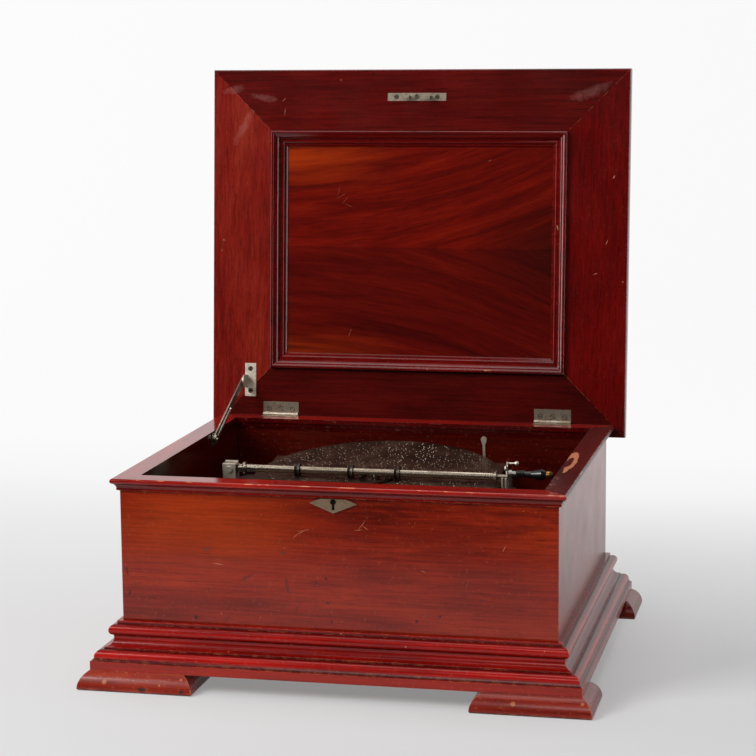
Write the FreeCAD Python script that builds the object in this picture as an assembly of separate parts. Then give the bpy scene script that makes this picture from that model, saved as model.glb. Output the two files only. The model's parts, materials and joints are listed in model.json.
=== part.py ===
"""Disc music box: a moulded wooden case with a framed lid, and a disc movement inside it.

Millimetres, +Z up, front towards -Y. The lid stands open. The origin is on the floor, under the middle of
the open box's outline.
"""
import FreeCAD
import Part
import math
import os

Vec = FreeCAD.Vector
X_AXIS = Vec(1, 0, 0)
Y_AXIS = Vec(0, 1, 0)
Z_AXIS = Vec(0, 0, 1)
ORIGIN = Vec(0, 0, 0)

# Case. Its width follows from the movement that it holds.
cap_room = 17.4
case_depth = 424.4
wall = 18.8
foot_height = 20.9
plinth_top = 31.0
base_top = 73.3
rim_bottom = 223.2
rim_top = 238.2
rim_overhang = 9.3
plinth_overhang = 30.7
plinth_ledge = 30.0
bottom_thickness = 12.0
foot_overhang = 43.1
foot_length = 135.6
foot_depth = 87.3
foot_curve = 12.4
foot_ease = 1.6

# Lid
lid_angle = 94.5
lid_side_overhang = 22.2
lid_front_overhang = 11.3
lid_tail = 17.2
lid_thickness = 22.0
lid_gap = 1.0
lid_edge_radius = 9.0
lid_edge_ease = 1.2
frame_width = 78.6
moulding_width = 19.6
moulding_rise = 6.5
panel_recess = 8.9
panel_thickness = 10.0
panel_tongue = 8.0
tongue_thickness = 6.0
groove_play = 0.2

# Hinges
hinge_inset = 70.6
hinge_length = 47.3
hinge_leaf_width = 16.5
hinge_leaf_thickness = 1.5
hinge_leaf_proud = 0.3
hinge_barrel_radius = 3.0
hinge_pin_radius = 1.5
hinge_setback = 3.4
knuckle_gap = 0.3
pin_play = 0.06
pocket_play = 0.4
leaf_screw_x = 15.7
leaf_screw_reach = 7.2
screw_radius = 2.6
screw_head = 0.9
screw_shank_radius = 1.3
screw_length = 9.0

# Lock
lock_x = -1.6
strike_length = 76.2
strike_width = 9.9
strike_setback = 5.0
strike_thickness = 1.6
strike_screw_x = 26.6
staple_x = 13.6
staple_width = 11.0
staple_depth = 11.0
staple_bar = 2.6
lock_height = 46.0
lock_thickness = 11.0
lock_wall = 1.6
lock_below_rim = 1.4
bolt_throw = 7.0
bolt_height = 3.4
bolt_width = 4.0
bolt_post = 3.0
bolt_rail = 5.0
keyhole_z = 219.7
keyhole_radius = 2.9
keyhole_slot = 2.6
keyhole_drop = 8.6
escutcheon_half_width = 27.3
escutcheon_half_height = 11.0
escutcheon_z = 218.0
escutcheon_thickness = 1.4
escutcheon_pin_x = 21.9
escutcheon_pin_radius = 1.3

# Stay
stay_plate_inset = 10.2
stay_plate_width = 14.9
stay_plate_low = 22.8
stay_plate_high = 66.3
stay_plate_thickness = 1.8
stay_plate_proud = 0.4
stay_wall_gap = 1.4
stay_screw_spread = 14.5
stay_pivot_reach = 43.0
stay_pivot_drop = 10.0
stay_lug_radius = 8.4
stay_arm_width = 11.0
stay_arm_thickness = 1.8
stay_slot_width = 4.2
stay_slot_start = 66.0
stay_stud_reach = 135.0
stay_stud_drop = 9.6
stay_stud_radius = 4.4
stay_flange = 1.0
rivet_head = 0.6
stay_washer_radius = 5.4
stay_washer_thickness = 1.6
running_gap = 0.3

# Movement frame: x as in the case, z square to the disc, origin at the middle of the disc's top face
disc_x = -4.0
disc_y = 12.0
disc_z = 200.9
bed_slope = 7.2

# Disc and its drive
disc_radius = 152.4
disc_thickness = 0.8
spindle_radius = 3.0
spindle_tip = 4.0
hub_radius = 24.0
hub_thickness = 5.0
drive_peg_count = 3
drive_peg_circle = 11.0
drive_peg_radius = 1.6
drive_peg_tip = 2.4
hole_play = 0.3
ring_first = 30.0
ring_pitch = 3.3
ring_count = 36
slots_per_ring = 2
slot_length = 3.6
slot_width = 1.3
tab_drop = 1.1
ring_turn = 137.5
slot_turn = 41.0

# Star wheels and comb
star_radius = 8.2
star_root = 5.2
star_points = 6
star_thickness = 1.2
star_shaft_radius = 2.0
star_hub = 3.0
star_drop = 11.0
comb_gap = 0.6
comb_thickness = 2.6
comb_tooth_length = 32.0
comb_tooth_width = 1.9
comb_tooth_thickness = 1.2
comb_land = 20.0
comb_screw_count = 4
comb_screw_radius = 3.4
comb_screw_head = 1.8

# Bedplate
bed_top = 26.0
bed_thickness = 8.0
bed_left_margin = 2.5
bed_right_margin = 0.65
bed_front = -75.0
bed_rear = 75.0
bed_corner = 14.0
window_inset = 14.0
start_arm_width = 26.0
bearer_width = 25.0
bearer_height = 26.0
bearer_left_inset = 36.0
bearer_right_inset = 43.5
lug_width = 18.0
lug_thickness = 8.0
lug_reach = 22.0
lug_outer_inset = 17.0
lug_inner_x = 84.0

# Pressure bar
bar_radius = 4.7
bar_height = 8.4
bar_pivot_reach = 29.2
bar_end_setback = 4.4
bar_tongue = 6.0
tongue_play = 0.3
tenon_radius = 3.0
collar_left_inset = 18.1
collar_radius = 7.6
collar_thickness = 5.0
cone_length = 4.5
roller_radius = 8.1
roller_thickness = 6.0
roller_groove = 1.2
roller_xs = (-96.6, -30.5, 26.9)
hold_down_x = 18.0
hold_down_pin = 1.6
hold_ring_radius = 20.5
hold_ring_bore = 15.5
hold_ring_low = 0.6
hold_ring_thickness = 1.6
socket_radius = 5.0
post_width = 15.8
post_depth = 16.0
post_crown = 6.4
post_foot_margin = 4.0
post_foot_height = 4.0
post_pin_head = 4.0
pivot_pin_radius = 2.2
cheek_room = 1.85
cheek_gap = 2.3
cheek_thickness = 1.9
cheek_half_depth = 7.0
latch_pivot_y = 10.0
latch_pivot_z = -7.0
latch_pin_radius = 1.5
latch_open = 22.0
latch_thickness = 1.6
latch_ball_reach = 4.2
latch_ball_z = 21.0
latch_ball_radius = 3.0
latch_rod_radius = 1.1

# Winding gear
crank_arm = 64.0
crank_y = -10.1
crank_z = 16.0
crank_room = 4.05
crank_arm_thickness = 3.6
crank_arm_width = 10.0
shaft_radius = 4.0
shaft_play = 0.06
grip_pin_radius = 2.2
grip_start = 5.0
grip_ring_count = 4
grip_ring_pitch = 2.8
grip_neck_radius = 3.6
grip_ring_radius = 4.9
grip_length = 24.0
grip_end_radius = 7.0
cap_length = 9.6
cap_radius = 4.8
gear_module = 1.0
bevel_module = 1.5
bevel_wheel_teeth = 32
bevel_pinion_teeth = 12
bevel_face = 7.0
gear_width = 4.0
great_teeth = 72
disc_pinion_teeth = 24
train_pinion_teeth = 12
train_wheel_teeth = 30
fan_pinion_teeth = 10
gear_backlash = 0.16
bevel_backlash = 0.3
great_gear_drop = 64.0
barrel_radius = 33.0
barrel_length = 40.0
train_bearing = 60.0
fan_bearing = 60.0
train_wheel_drop = 53.0
arbor_radius = 2.4
fan_radius = 14.0
fan_height = 28.0
fan_thickness = 1.2
plate_drop = 114.0
plate_thickness = 4.0
plate_left = -26.0
plate_right = 101.0
plate_front = -52.0
plate_rear = 68.0
pillar_radius = 4.0
pillar_inset = 6.0

# Start lever
start_x = 112.0
start_y = 116.5
start_tip = 20.6
start_pivot_drop = 15.0
start_neck = 3.0
start_spoon = 7.2
start_thickness = 1.8
start_pin_radius = 1.6

screw_sides = 12
shank_sides = 6
cheek_inner_x = disc_radius + cheek_room + cheek_thickness / 2
cheek_outer_x = cheek_inner_x + cheek_thickness + cheek_gap
cheek_face_x = cheek_outer_x + cheek_thickness / 2
bar_pivot_x = -disc_radius - bar_pivot_reach
bar_right_x = disc_radius - bar_end_setback
collar_left_x = bar_pivot_x + collar_left_inset
bed_left = bar_pivot_x - post_width / 2 - post_foot_margin - bed_left_margin
bed_right = cheek_face_x + bed_right_margin
bearer_left_x = bed_left + bearer_left_inset
bearer_right_x = bed_right - bearer_right_inset
lug_outer_x = bed_right - lug_outer_inset
crank_arm_x = cheek_face_x + crank_room
latch_ball_x = crank_arm_x + latch_ball_reach
grip_x = crank_arm_x + crank_arm_thickness + grip_start
grip_span = grip_ring_count * grip_ring_pitch + grip_length
inner_x = disc_x + grip_x + grip_span + cap_length + cap_room
half_w = inner_x + wall
half_d = case_depth / 2
inner_y = half_d - wall
hinge_y = half_d + rim_overhang + hinge_setback
lid_bottom = rim_top + lid_gap
hinge_z = rim_top + lid_gap / 2
hinge_x = half_w - hinge_inset
lid_half_width = half_w + lid_side_overhang
lid_reach = hinge_y + half_d + lid_front_overhang
strike_y = -inner_y + strike_setback
stay_plate_x = -inner_x + stay_plate_inset
stay_stud_y = hinge_y - stay_stud_reach
stay_stud_z = rim_top - stay_stud_drop
parts = {}


def box(x0, x1, y0, y1, z0, z1):
    return Part.makeBox(x1 - x0, y1 - y0, z1 - z0, Vec(x0, y0, z0))


def rod(radius, start, direction, length):
    return Part.makeCylinder(radius, length, Vec(*start), direction)


def fuse(solids):
    joined = solids[0]
    for solid in solids[1:]:
        joined = joined.fuse(solid)
    return joined.removeSplitter()


def prism(points, direction):
    """Extrude a closed outline of 3-D points."""
    wire = Part.makePolygon([Vec(*p) for p in points + points[:1]])
    return Part.Face(wire).extrude(direction)


def arc_edge(a, middle, b):
    return Part.Arc(a, middle, b).toShape()


def outline(steps, place):
    """Wire from steps: a point, or (middle, point) for an arc through the middle."""
    edges = []
    start = place(*steps[0])
    here = start
    for step in steps[1:] + [steps[0]]:
        curved = isinstance(step[0], tuple)
        end = place(*(step[1] if curved else step))
        if curved:
            edges.append(arc_edge(here, place(*step[0]), end))
        elif here.distanceToPoint(end) > 1e-6:
            edges.append(Part.makeLine(here, end))
        here = end
    return Part.Face(Part.Wire(edges))


def mitred_strip(steps, half_x, half_y, side):
    """One side of a mitred frame. A step's first value is its distance outside the half_x by half_y line."""
    along_x = side in ("front", "back")
    sign = -1 if side in ("front", "left") else 1
    far = half_x + half_y
    if along_x:
        section = outline(steps, lambda o, z: Vec(-far, sign * (half_y + o), z))
        strip = section.extrude(X_AXIS * (2 * far))
        reach = half_y
        other = half_x
    else:
        section = outline(steps, lambda o, z: Vec(sign * (half_x + o), -far, z))
        strip = section.extrude(Y_AXIS * (2 * far))
        reach = half_x
        other = half_y
    spread = far / 2
    corners = [(-(other + spread), reach + spread), (other + spread, reach + spread)]
    depth = min(half_x, half_y)
    corners += [(other - depth, reach - depth), (-(other - depth), reach - depth)]
    low = strip.BoundBox.ZMin - 1
    if along_x:
        wedge = [(a, sign * b, low) for a, b in corners]
    else:
        wedge = [(sign * b, a, low) for a, b in corners]
    return strip.common(prism(wedge, Z_AXIS * (strip.BoundBox.ZLength + 2)))


def to_case(shape):
    """Carry a shape from the sloping movement frame into the case."""
    placed = shape.copy()
    placed.rotate(ORIGIN, X_AXIS, bed_slope)
    placed.translate(Vec(disc_x, disc_y, disc_z))
    return placed


def many_sided(radius, sides, start, direction, length):
    """A small fastener's round part, drawn with few faces."""
    turns = [2 * math.pi * i / sides for i in range(sides)]
    shape = prism([(radius * math.cos(a), radius * math.sin(a), 0) for a in turns], Z_AXIS * length)
    shape.Placement = FreeCAD.Placement(Vec(*start), FreeCAD.Rotation(Z_AXIS, direction))
    return shape


def screw(x, y, z, direction):
    """A countersunk screw: a low head with its shank behind it."""
    head = many_sided(screw_radius, screw_sides, (x, y, z), direction, screw_head)
    shank = many_sided(screw_shank_radius, shank_sides, (x, y, z), direction * -1, screw_length)
    return head.fuse(shank)


def cut_screws(shape, screws):
    for piece in screws:
        shape = shape.cut(piece)
    return shape


# Case walls, bottom, rim, base and feet

def keyhole(y0, y1):
    round_part = rod(keyhole_radius, (lock_x, y0, keyhole_z), Y_AXIS, y1 - y0)
    slot = box(lock_x - keyhole_slot / 2, lock_x + keyhole_slot / 2, y0, y1, keyhole_z - keyhole_drop, keyhole_z)
    return round_part.fuse(slot)


def make_case():
    wall_section = [(-wall, plinth_top), (0, plinth_top), (0, rim_bottom), (-wall, rim_bottom)]
    for side in ("front", "back", "left", "right"):
        parts[side + "_wall"] = mitred_strip(wall_section, half_w, half_d, side)
        parts["rim_" + side] = mitred_strip(rim_section(), half_w, half_d, side)
        parts["base_" + side] = mitred_strip(base_section(), half_w, half_d, side)
    parts["front_wall"] = parts["front_wall"].cut(keyhole(-half_d - 1, -inner_y + 1))
    parts["bottom_board"] = box(-inner_x, inner_x, -inner_y, inner_y, plinth_top, plinth_top + bottom_thickness)
    for x_name, x_sign in (("left", -1), ("right", 1)):
        for y_name, y_sign in (("front", -1), ("rear", 1)):
            parts["foot_" + y_name + "_" + x_name] = make_foot(x_sign, y_sign)


def rim_section():
    """Flat top, rounded nose, cove and fillet under it."""
    nose = rim_overhang
    return [(-wall, rim_bottom), (-wall, rim_top), (nose - 2.2, rim_top),
            ((nose - 0.3, rim_top - 1.6), (nose, rim_top - 3.0)), ((nose - 0.5, rim_top - 4.6), (nose - 1.6, rim_top - 5.6)),
            (nose - 2.6, rim_top - 6.0), ((nose - 5.0, rim_top - 8.2), (nose - 6.0, rim_top - 11.8)),
            (nose - 6.0, rim_bottom + 1.4), (0, rim_bottom)]


def base_section():
    """Ledge and fillet, torus, cove, ovolo, small step and plinth band, from the top down."""
    nose = plinth_overhang
    return [(0, plinth_top), (0, base_top), (5.6, base_top), (5.6, base_top - 3.6), (7.4, base_top - 3.8),
            ((13.7, base_top - 9.6), (9.4, base_top - 16.0)), (8.7, base_top - 17.0), (8.7, base_top - 20.2),
            ((11.2, base_top - 25.6), (17.6, base_top - 28.4)), (17.6, base_top - 30.2), (20.2, base_top - 30.4),
            ((25.4, base_top - 33.2), (27.0, base_top - 39.2)), (28.4, base_top - 40.4), (28.4, plinth_top + 0.6),
            (nose, plinth_top), (nose, foot_height), (-plinth_ledge, foot_height), (-plinth_ledge, plinth_top)]


def make_foot(x_sign, y_sign):
    """A block with a quarter-round on every side: two crossed extrusions keep what both share."""
    edge_x = half_w + foot_overhang
    edge_y = half_d + foot_overhang

    def section(edge, length, place):
        low = edge - length
        mid = foot_curve * 0.29
        rise = foot_height * 0.62
        steps = [(low + foot_ease, 0), (edge - foot_ease, 0), (edge, foot_ease),
                 ((edge - mid, rise), (edge - foot_curve, foot_height)), (low + foot_curve, foot_height),
                 ((low + mid, rise), (low, foot_ease))]
        return outline(steps, place)

    along_y = section(edge_x, foot_length, lambda a, z: Vec(x_sign * a, 0, z))
    along_x = section(edge_y, foot_depth, lambda a, z: Vec(0, y_sign * a, z))
    return along_y.extrude(Y_AXIS * (y_sign * edge_y)).common(along_x.extrude(X_AXIS * (x_sign * edge_x)))


# Lid: drawn closed, then swung open about the hinge pins

def make_lid():
    closed = {}
    half_y = (lid_reach + lid_tail) / 2
    middle = hinge_y - lid_reach + half_y
    top = lid_bottom + lid_thickness
    ease = lid_edge_ease
    round_ = lid_edge_radius
    groove_low = lid_bottom + panel_recess + (panel_thickness - tongue_thickness) / 2
    groove_high = groove_low + tongue_thickness
    inside = -frame_width
    groove = inside - panel_tongue - groove_play
    section = [(inside, lid_bottom), (-ease, lid_bottom), (0, lid_bottom + ease), (0, top - round_),
               ((-round_ * 0.29, top - round_ * 0.29), (-round_, top)), (inside, top), (inside, groove_high),
               (inside + panel_tongue + groove_play, groove_high), (inside + panel_tongue + groove_play, groove_low),
               (inside, groove_low)]
    names = {"front": "lid_front_rail", "back": "lid_rear_rail", "left": "lid_left_stile", "right": "lid_right_stile"}
    shift = Vec(0, middle, 0)
    for side, name in names.items():
        piece = mitred_strip(section, lid_half_width, half_y, side)
        piece.translate(shift)
        closed[name] = piece
    open_x = lid_half_width - frame_width
    open_y = half_y - frame_width
    low = lid_bottom + panel_recess
    field = box(-open_x, open_x, -open_y, open_y, low, low + panel_thickness)
    tongue = box(-open_x - panel_tongue, open_x + panel_tongue, -open_y - panel_tongue, open_y + panel_tongue,
                 groove_low + groove_play / 2, groove_high - groove_play / 2)
    closed["lid_panel"] = field.fuse(tongue).removeSplitter()
    closed["lid_panel"].translate(shift)
    strips = []
    for side in names:
        strip = mitred_strip(lid_moulding_section(), open_x, open_y, side)
        strip.translate(shift)
        strips.append(strip)
    closed["lid_moulding"] = Part.makeCompound(strips)
    fit_lid_hardware(closed)
    for name, shape in closed.items():
        parts[name] = swing_open(shape)


def lid_moulding_section():
    """Raised moulding on the panel's edge: an outer bead, a hollow, an inner step down to the panel."""
    face = lid_bottom
    deep = lid_bottom + panel_recess
    width = moulding_width
    return [(0, deep), (0, face - moulding_rise + 2.6), ((-1.9, face - moulding_rise), (-4.0, face - moulding_rise + 1.6)),
            (-5.0, face - moulding_rise + 2.4), ((-8.6, face - 1.4), (-10.4, face + 2.6)), (-12.4, face + 2.8),
            ((-15.0, face + 3.4), (-16.0, face + 5.6)), (-width + 1.2, face + 6.2), (-width, deep - 1.0), (-width, deep)]


def swing_open(shape):
    opened = shape.copy()
    opened.rotate(Vec(0, hinge_y, hinge_z), X_AXIS, -lid_angle)
    return opened


def leaf(on_lid, x):
    """A butt hinge leaf with its knuckles. The lid's leaf has the outer two and carries the pin."""
    half = hinge_length / 2
    face = lid_bottom if on_lid else rim_top
    low = face - hinge_leaf_proud if on_lid else face + hinge_leaf_proud - hinge_leaf_thickness
    flat = box(x - half, x + half, hinge_y - hinge_leaf_width, hinge_y, low, low + hinge_leaf_thickness)
    third = hinge_length / 3
    full = rod(hinge_barrel_radius, (x - half, hinge_y, hinge_z), X_AXIS, hinge_length)
    clear = hinge_barrel_radius + knuckle_gap
    middle_room = box(x - third / 2 - knuckle_gap, x + third / 2 + knuckle_gap,
                      hinge_y - clear, hinge_y + clear, hinge_z - clear, hinge_z + clear)
    middle = box(x - third / 2, x + third / 2, hinge_y - clear, hinge_y + clear, hinge_z - clear, hinge_z + clear)
    barrel_room = rod(clear, (x - half, hinge_y, hinge_z), X_AXIS, hinge_length)
    if on_lid:
        solid = flat.cut(middle_room).fuse(full.cut(middle_room))
        pin = rod(hinge_pin_radius, (x - half, hinge_y, hinge_z), X_AXIS, hinge_length)
        return solid.fuse(pin).removeSplitter()
    knuckle = full.common(middle)
    outer_flat = flat.cut(barrel_room.cut(middle))
    bore = rod(hinge_pin_radius + pin_play, (x - half, hinge_y, hinge_z), X_AXIS, hinge_length)
    return outer_flat.fuse(knuckle).removeSplitter().cut(bore)


def fit_hinges(closed, lid_screws, case_screws):
    """Let each leaf into its wood, and drive three screws through it."""
    half = hinge_length / 2
    reach = hinge_leaf_width
    for name, x in (("left", -hinge_x), ("right", hinge_x)):
        lid_leaf = leaf(True, x)
        case_leaf = leaf(False, x)
        lid_seat = box(x - half, x + half, hinge_y - reach, hinge_y,
                       lid_bottom, lid_bottom - hinge_leaf_proud + hinge_leaf_thickness)
        room = hinge_barrel_radius + pocket_play
        barrel_seat = box(x - half - pocket_play, x + half + pocket_play, hinge_y - room, hinge_y + room,
                          hinge_z - room, hinge_z + room)
        case_seat = box(x - half, x + half, hinge_y - reach, hinge_y,
                        rim_top + hinge_leaf_proud - hinge_leaf_thickness, rim_top)
        closed["lid_rear_rail"] = closed["lid_rear_rail"].cut(lid_seat).cut(barrel_seat)
        parts["rim_back"] = parts["rim_back"].cut(case_seat).cut(barrel_seat)
        for offset in (-leaf_screw_x, 0, leaf_screw_x):
            sunk = screw_head + 0.001
            up = lid_bottom - hinge_leaf_proud + sunk
            down = rim_top + hinge_leaf_proud - sunk
            lid_screws.append(screw(x + offset, hinge_y - leaf_screw_reach, up, Z_AXIS * -1))
            case_screws.append(screw(x + offset, hinge_y - leaf_screw_reach - 2.5, down, Z_AXIS))
        closed["lid_hinge_" + name] = lid_leaf
        parts["case_hinge_" + name] = case_leaf


def fit_lid_hardware(closed):
    lid_screws = []
    case_screws = []
    fit_hinges(closed, lid_screws, case_screws)
    strike = box(lock_x - strike_length / 2, lock_x + strike_length / 2, strike_y - strike_width / 2,
                 strike_y + strike_width / 2, lid_bottom - running_gap, lid_bottom - running_gap + strike_thickness)
    strike_seat = box(lock_x - strike_length / 2, lock_x + strike_length / 2, strike_y - strike_width / 2,
                      strike_y + strike_width / 2, lid_bottom, lid_bottom - running_gap + strike_thickness)
    for sign in (-1, 1):
        x = lock_x + sign * staple_x
        low = lid_bottom - staple_depth
        loop = box(x - staple_width / 2, x + staple_width / 2, strike_y - staple_bar / 2, strike_y + staple_bar / 2,
                   low, lid_bottom)
        eye = box(x - staple_width, x + staple_width / 2 - staple_bar, strike_y - staple_bar,
                  strike_y + staple_bar, low + staple_bar, lid_bottom - running_gap)
        strike = strike.fuse(loop.cut(eye))
    for offset in (-strike_screw_x, 0, strike_screw_x):
        lid_screws.append(screw(lock_x + offset, strike_y, lid_bottom - running_gap + screw_head, Z_AXIS * -1))
    closed["strike_plate"] = strike.removeSplitter()
    closed["lid_front_rail"] = closed["lid_front_rail"].cut(strike_seat)
    plate_y = [hinge_y - stay_plate_high, hinge_y - stay_plate_low]
    face = lid_bottom - stay_plate_proud
    plate = box(stay_plate_x - stay_plate_width / 2, stay_plate_x + stay_plate_width / 2, plate_y[0], plate_y[1],
                face, face + stay_plate_thickness)
    seat = box(stay_plate_x - stay_plate_width / 2, stay_plate_x + stay_plate_width / 2, plate_y[0], plate_y[1],
               lid_bottom, face + stay_plate_thickness)
    for name in ("lid_left_stile", "lid_rear_rail"):
        closed[name] = closed[name].cut(seat)
    pivot = stay_pivot_closed()
    lug_x = stay_arm_x() + stay_arm_thickness / 2 + running_gap
    lug = rod(stay_lug_radius, (lug_x, pivot[0], pivot[1]), X_AXIS, stay_plate_thickness)
    web = box(lug_x, lug_x + stay_plate_thickness, pivot[0] - stay_lug_radius, pivot[0] + stay_lug_radius,
              pivot[1], face)
    rivet_start = lug_x - 2 * running_gap - stay_arm_thickness - rivet_head
    rivet_end = lug_x + stay_plate_thickness + rivet_head
    pin = rod(screw_shank_radius, (rivet_start, pivot[0], pivot[1]), X_AXIS, rivet_end - rivet_start)
    head = rod(screw_radius, (rivet_start, pivot[0], pivot[1]), X_AXIS, rivet_head)
    dome = Part.makeCone(stay_lug_radius * 0.6, screw_radius, rivet_head,
                         Vec(lug_x + stay_plate_thickness, pivot[0], pivot[1]), X_AXIS)
    closed["stay_bracket"] = fuse([plate, lug, web, pin, head, dome])
    middle = (plate_y[0] + plate_y[1]) / 2
    for offset in (-stay_screw_spread, stay_screw_spread):
        lid_screws.append(screw(stay_plate_x, middle + offset, face + screw_head, Z_AXIS * -1))
    for name in ("strike_plate", "stay_bracket", "lid_hinge_left", "lid_hinge_right", "lid_rear_rail",
                 "lid_front_rail", "lid_left_stile"):
        closed[name] = cut_screws(closed[name], [s for s in lid_screws if s.common(closed[name]).Volume > 1e-6])
    for name in ("case_hinge_left", "case_hinge_right", "rim_back"):
        source = parts[name]
        parts[name] = cut_screws(source, [s for s in case_screws if s.common(source).Volume > 1e-6])
    closed["lid_screws"] = Part.makeCompound(lid_screws)
    parts["case_screws"] = Part.makeCompound(case_screws)


# Lid stay: a slotted arm from the lid's lug to the stud on the left wall

def stay_arm_x():
    return -inner_x + stay_wall_gap + stay_arm_thickness / 2


def stay_pivot_closed():
    return (hinge_y - stay_pivot_reach, lid_bottom - stay_pivot_drop)


def swing_point(y, z, degrees):
    """Where a point of the closed lid goes when the lid opens by so many degrees."""
    a = math.radians(degrees)
    dy = y - hinge_y
    dz = z - hinge_z
    return (hinge_y + dy * math.cos(a) + dz * math.sin(a), hinge_z - dy * math.sin(a) + dz * math.cos(a))


def arm_slope(pivot):
    """Angle of the arm below the horizontal, from the pivot to the stud."""
    return math.degrees(math.atan2(pivot[1] - stay_stud_z, pivot[0] - stay_stud_y))


def make_stay():
    pivot = swing_point(*stay_pivot_closed(), lid_angle)
    length = math.hypot(pivot[0] - stay_stud_y, pivot[1] - stay_stud_z)
    x0 = stay_arm_x() - stay_arm_thickness / 2
    half = stay_arm_width / 2

    def bar(start, end, half_width, thick_from, thick):
        middle = [(thick_from, start, -half_width), (thick_from, end, -half_width), (thick_from, end, half_width),
                  (thick_from, start, half_width)]
        ends = [rod(half_width, (thick_from, at, 0), X_AXIS, thick) for at in (start, end)]
        return fuse([prism(middle, X_AXIS * thick)] + ends)

    arm = bar(0, length, half, x0, stay_arm_thickness)
    arm = arm.cut(bar(stay_slot_start, length, stay_slot_width / 2, x0 - 1, stay_arm_thickness + 2))
    arm = arm.cut(rod(screw_shank_radius + pin_play, (x0 - 1, 0, 0), X_AXIS, stay_arm_thickness + 2))
    washer = rod(stay_washer_radius, (x0 + stay_arm_thickness, length, 0), X_AXIS, stay_washer_thickness)
    bolt = rod(stay_slot_width / 2, (x0 + 0.2, length, 0), X_AXIS, stay_arm_thickness)
    dome = Part.makeCone(screw_radius + 0.6, screw_radius * 0.5, stay_washer_thickness,
                         Vec(x0 + stay_arm_thickness + stay_washer_thickness, length, 0), X_AXIS)
    stud_head = fuse([washer, bolt, dome])
    slope = arm_slope(pivot)
    placed = []
    for shape in (arm, stud_head):
        shape.rotate(ORIGIN, X_AXIS, 180 + slope)
        shape.translate(Vec(0, pivot[0], pivot[1]))
        placed.append(shape)
    parts["stay_arm"] = placed[0].fuse(placed[1]).removeSplitter()
    boss = rod(stay_stud_radius, (-inner_x, stay_stud_y, stay_stud_z), X_AXIS, x0 - running_gap + inner_x)
    reach = 1.7 * stay_stud_radius
    flange = box(-inner_x, -inner_x + stay_flange, stay_stud_y - reach, stay_stud_y + reach, stay_stud_z - reach,
                 stay_stud_z + reach)
    parts["stay_stud"] = boss.fuse(flange).removeSplitter()
    closed_slope = arm_slope(stay_pivot_closed())
    turn = (slope - closed_slope) + lid_angle
    print("stay: arm", round(length, 2), "ratio to lid", round(-turn / lid_angle, 5))
    print("stay: pivot at", [round(v, 3) for v in pivot])


# Lock and escutcheon

def make_lock():
    top = rim_top - lock_below_rim
    low = top - lock_height
    y0 = -inner_y
    half = strike_length / 2
    shell = box(lock_x - half, lock_x + half, y0, y0 + lock_thickness, low, top)
    hollow = box(lock_x - half + lock_wall, lock_x + half - lock_wall, y0 + lock_wall, y0 + lock_thickness - lock_wall,
                 low + lock_wall, top - lock_wall)
    case = shell.cut(hollow)
    room = 0.8
    for sign in (-1, 1):
        x = lock_x + sign * staple_x
        case = case.cut(box(x - staple_width / 2 - room, x + staple_width / 2 + room, strike_y - staple_bar / 2 - room,
                            strike_y + staple_bar / 2 + room, top - 2 * lock_wall, top + 1))
    case = case.cut(keyhole(y0 - 1, y0 + lock_wall + 1))
    bolt_low = lid_bottom - staple_depth + staple_bar + 0.6
    rail_top = lid_bottom - staple_depth - room
    rail_low = rail_top - bolt_rail
    rail = box(lock_x - half + 3.0, lock_x + half - 3.0 - bolt_throw, strike_y - bolt_width / 2, strike_y + bolt_width / 2,
               rail_low, rail_top)
    pieces = [rail]
    for sign in (-1, 1):
        hook = lock_x + sign * staple_x - staple_width / 2
        post = hook - bolt_throw - room
        pieces.append(box(post - bolt_post, post, strike_y - bolt_width / 2, strike_y + bolt_width / 2, rail_low,
                          bolt_low + bolt_height))
        pieces.append(box(post - bolt_post, hook - 2 * room, strike_y - staple_bar / 3, strike_y + staple_bar / 3,
                          bolt_low, bolt_low + bolt_height))
    parts["lock_bolt"] = fuse(pieces)
    shelf = box(lock_x - half + lock_wall, lock_x + half - lock_wall, strike_y - bolt_width / 2,
                strike_y + bolt_width / 2, rail_low - running_gap - 1.5, rail_low - running_gap)
    bridge = box(lock_x - half + lock_wall, lock_x - half + 8, y0 + lock_wall, y0 + lock_thickness - lock_wall,
                 rail_low - running_gap - 1.5, rail_low - running_gap)
    parts["lock_case"] = fuse([case, shelf, bridge])


def make_escutcheon():
    y0 = -half_d - escutcheon_thickness
    corners = [(lock_x - escutcheon_half_width, escutcheon_z), (lock_x, escutcheon_z - escutcheon_half_height),
               (lock_x + escutcheon_half_width, escutcheon_z), (lock_x, escutcheon_z + escutcheon_half_height)]
    plate = prism([(x, y0, z) for x, z in corners], Y_AXIS * escutcheon_thickness)
    plate = plate.common(box(lock_x - 50, lock_x + 50, y0 - 1, 0, escutcheon_z - 50, rim_bottom))
    plate = plate.cut(keyhole(y0 - 1, -half_d + 1))
    for sign in (-1, 1):
        pin = rod(escutcheon_pin_radius, (lock_x + sign * escutcheon_pin_x, y0 - 0.5, escutcheon_z), Y_AXIS, 0.7)
        plate = plate.fuse(pin)
    parts["escutcheon"] = plate.removeSplitter()


# Gears

def spur_gear(teeth, width, z_low, turn=0.0):
    """Straight-sided teeth on a blank, with the backlash taken off both flanks."""
    pitch_radius = gear_module * teeth / 2
    root = pitch_radius - 1.25 * gear_module
    tip = pitch_radius + 0.95 * gear_module
    slope = math.tan(math.radians(20))
    half_pitch = math.pi * gear_module / 4 - gear_backlash
    points = []
    for tooth in range(teeth):
        middle = 2 * math.pi * tooth / teeth + math.radians(turn)
        at_root = (half_pitch + 1.25 * gear_module * slope) / pitch_radius
        at_tip = (half_pitch - 0.95 * gear_module * slope) / pitch_radius
        for radius, angle in ((root, -at_root), (tip, -at_tip), (tip, at_tip), (root, at_root)):
            points.append((radius * math.cos(middle + angle), radius * math.sin(middle + angle), z_low))
    return prism(points, Z_AXIS * width)


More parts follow.
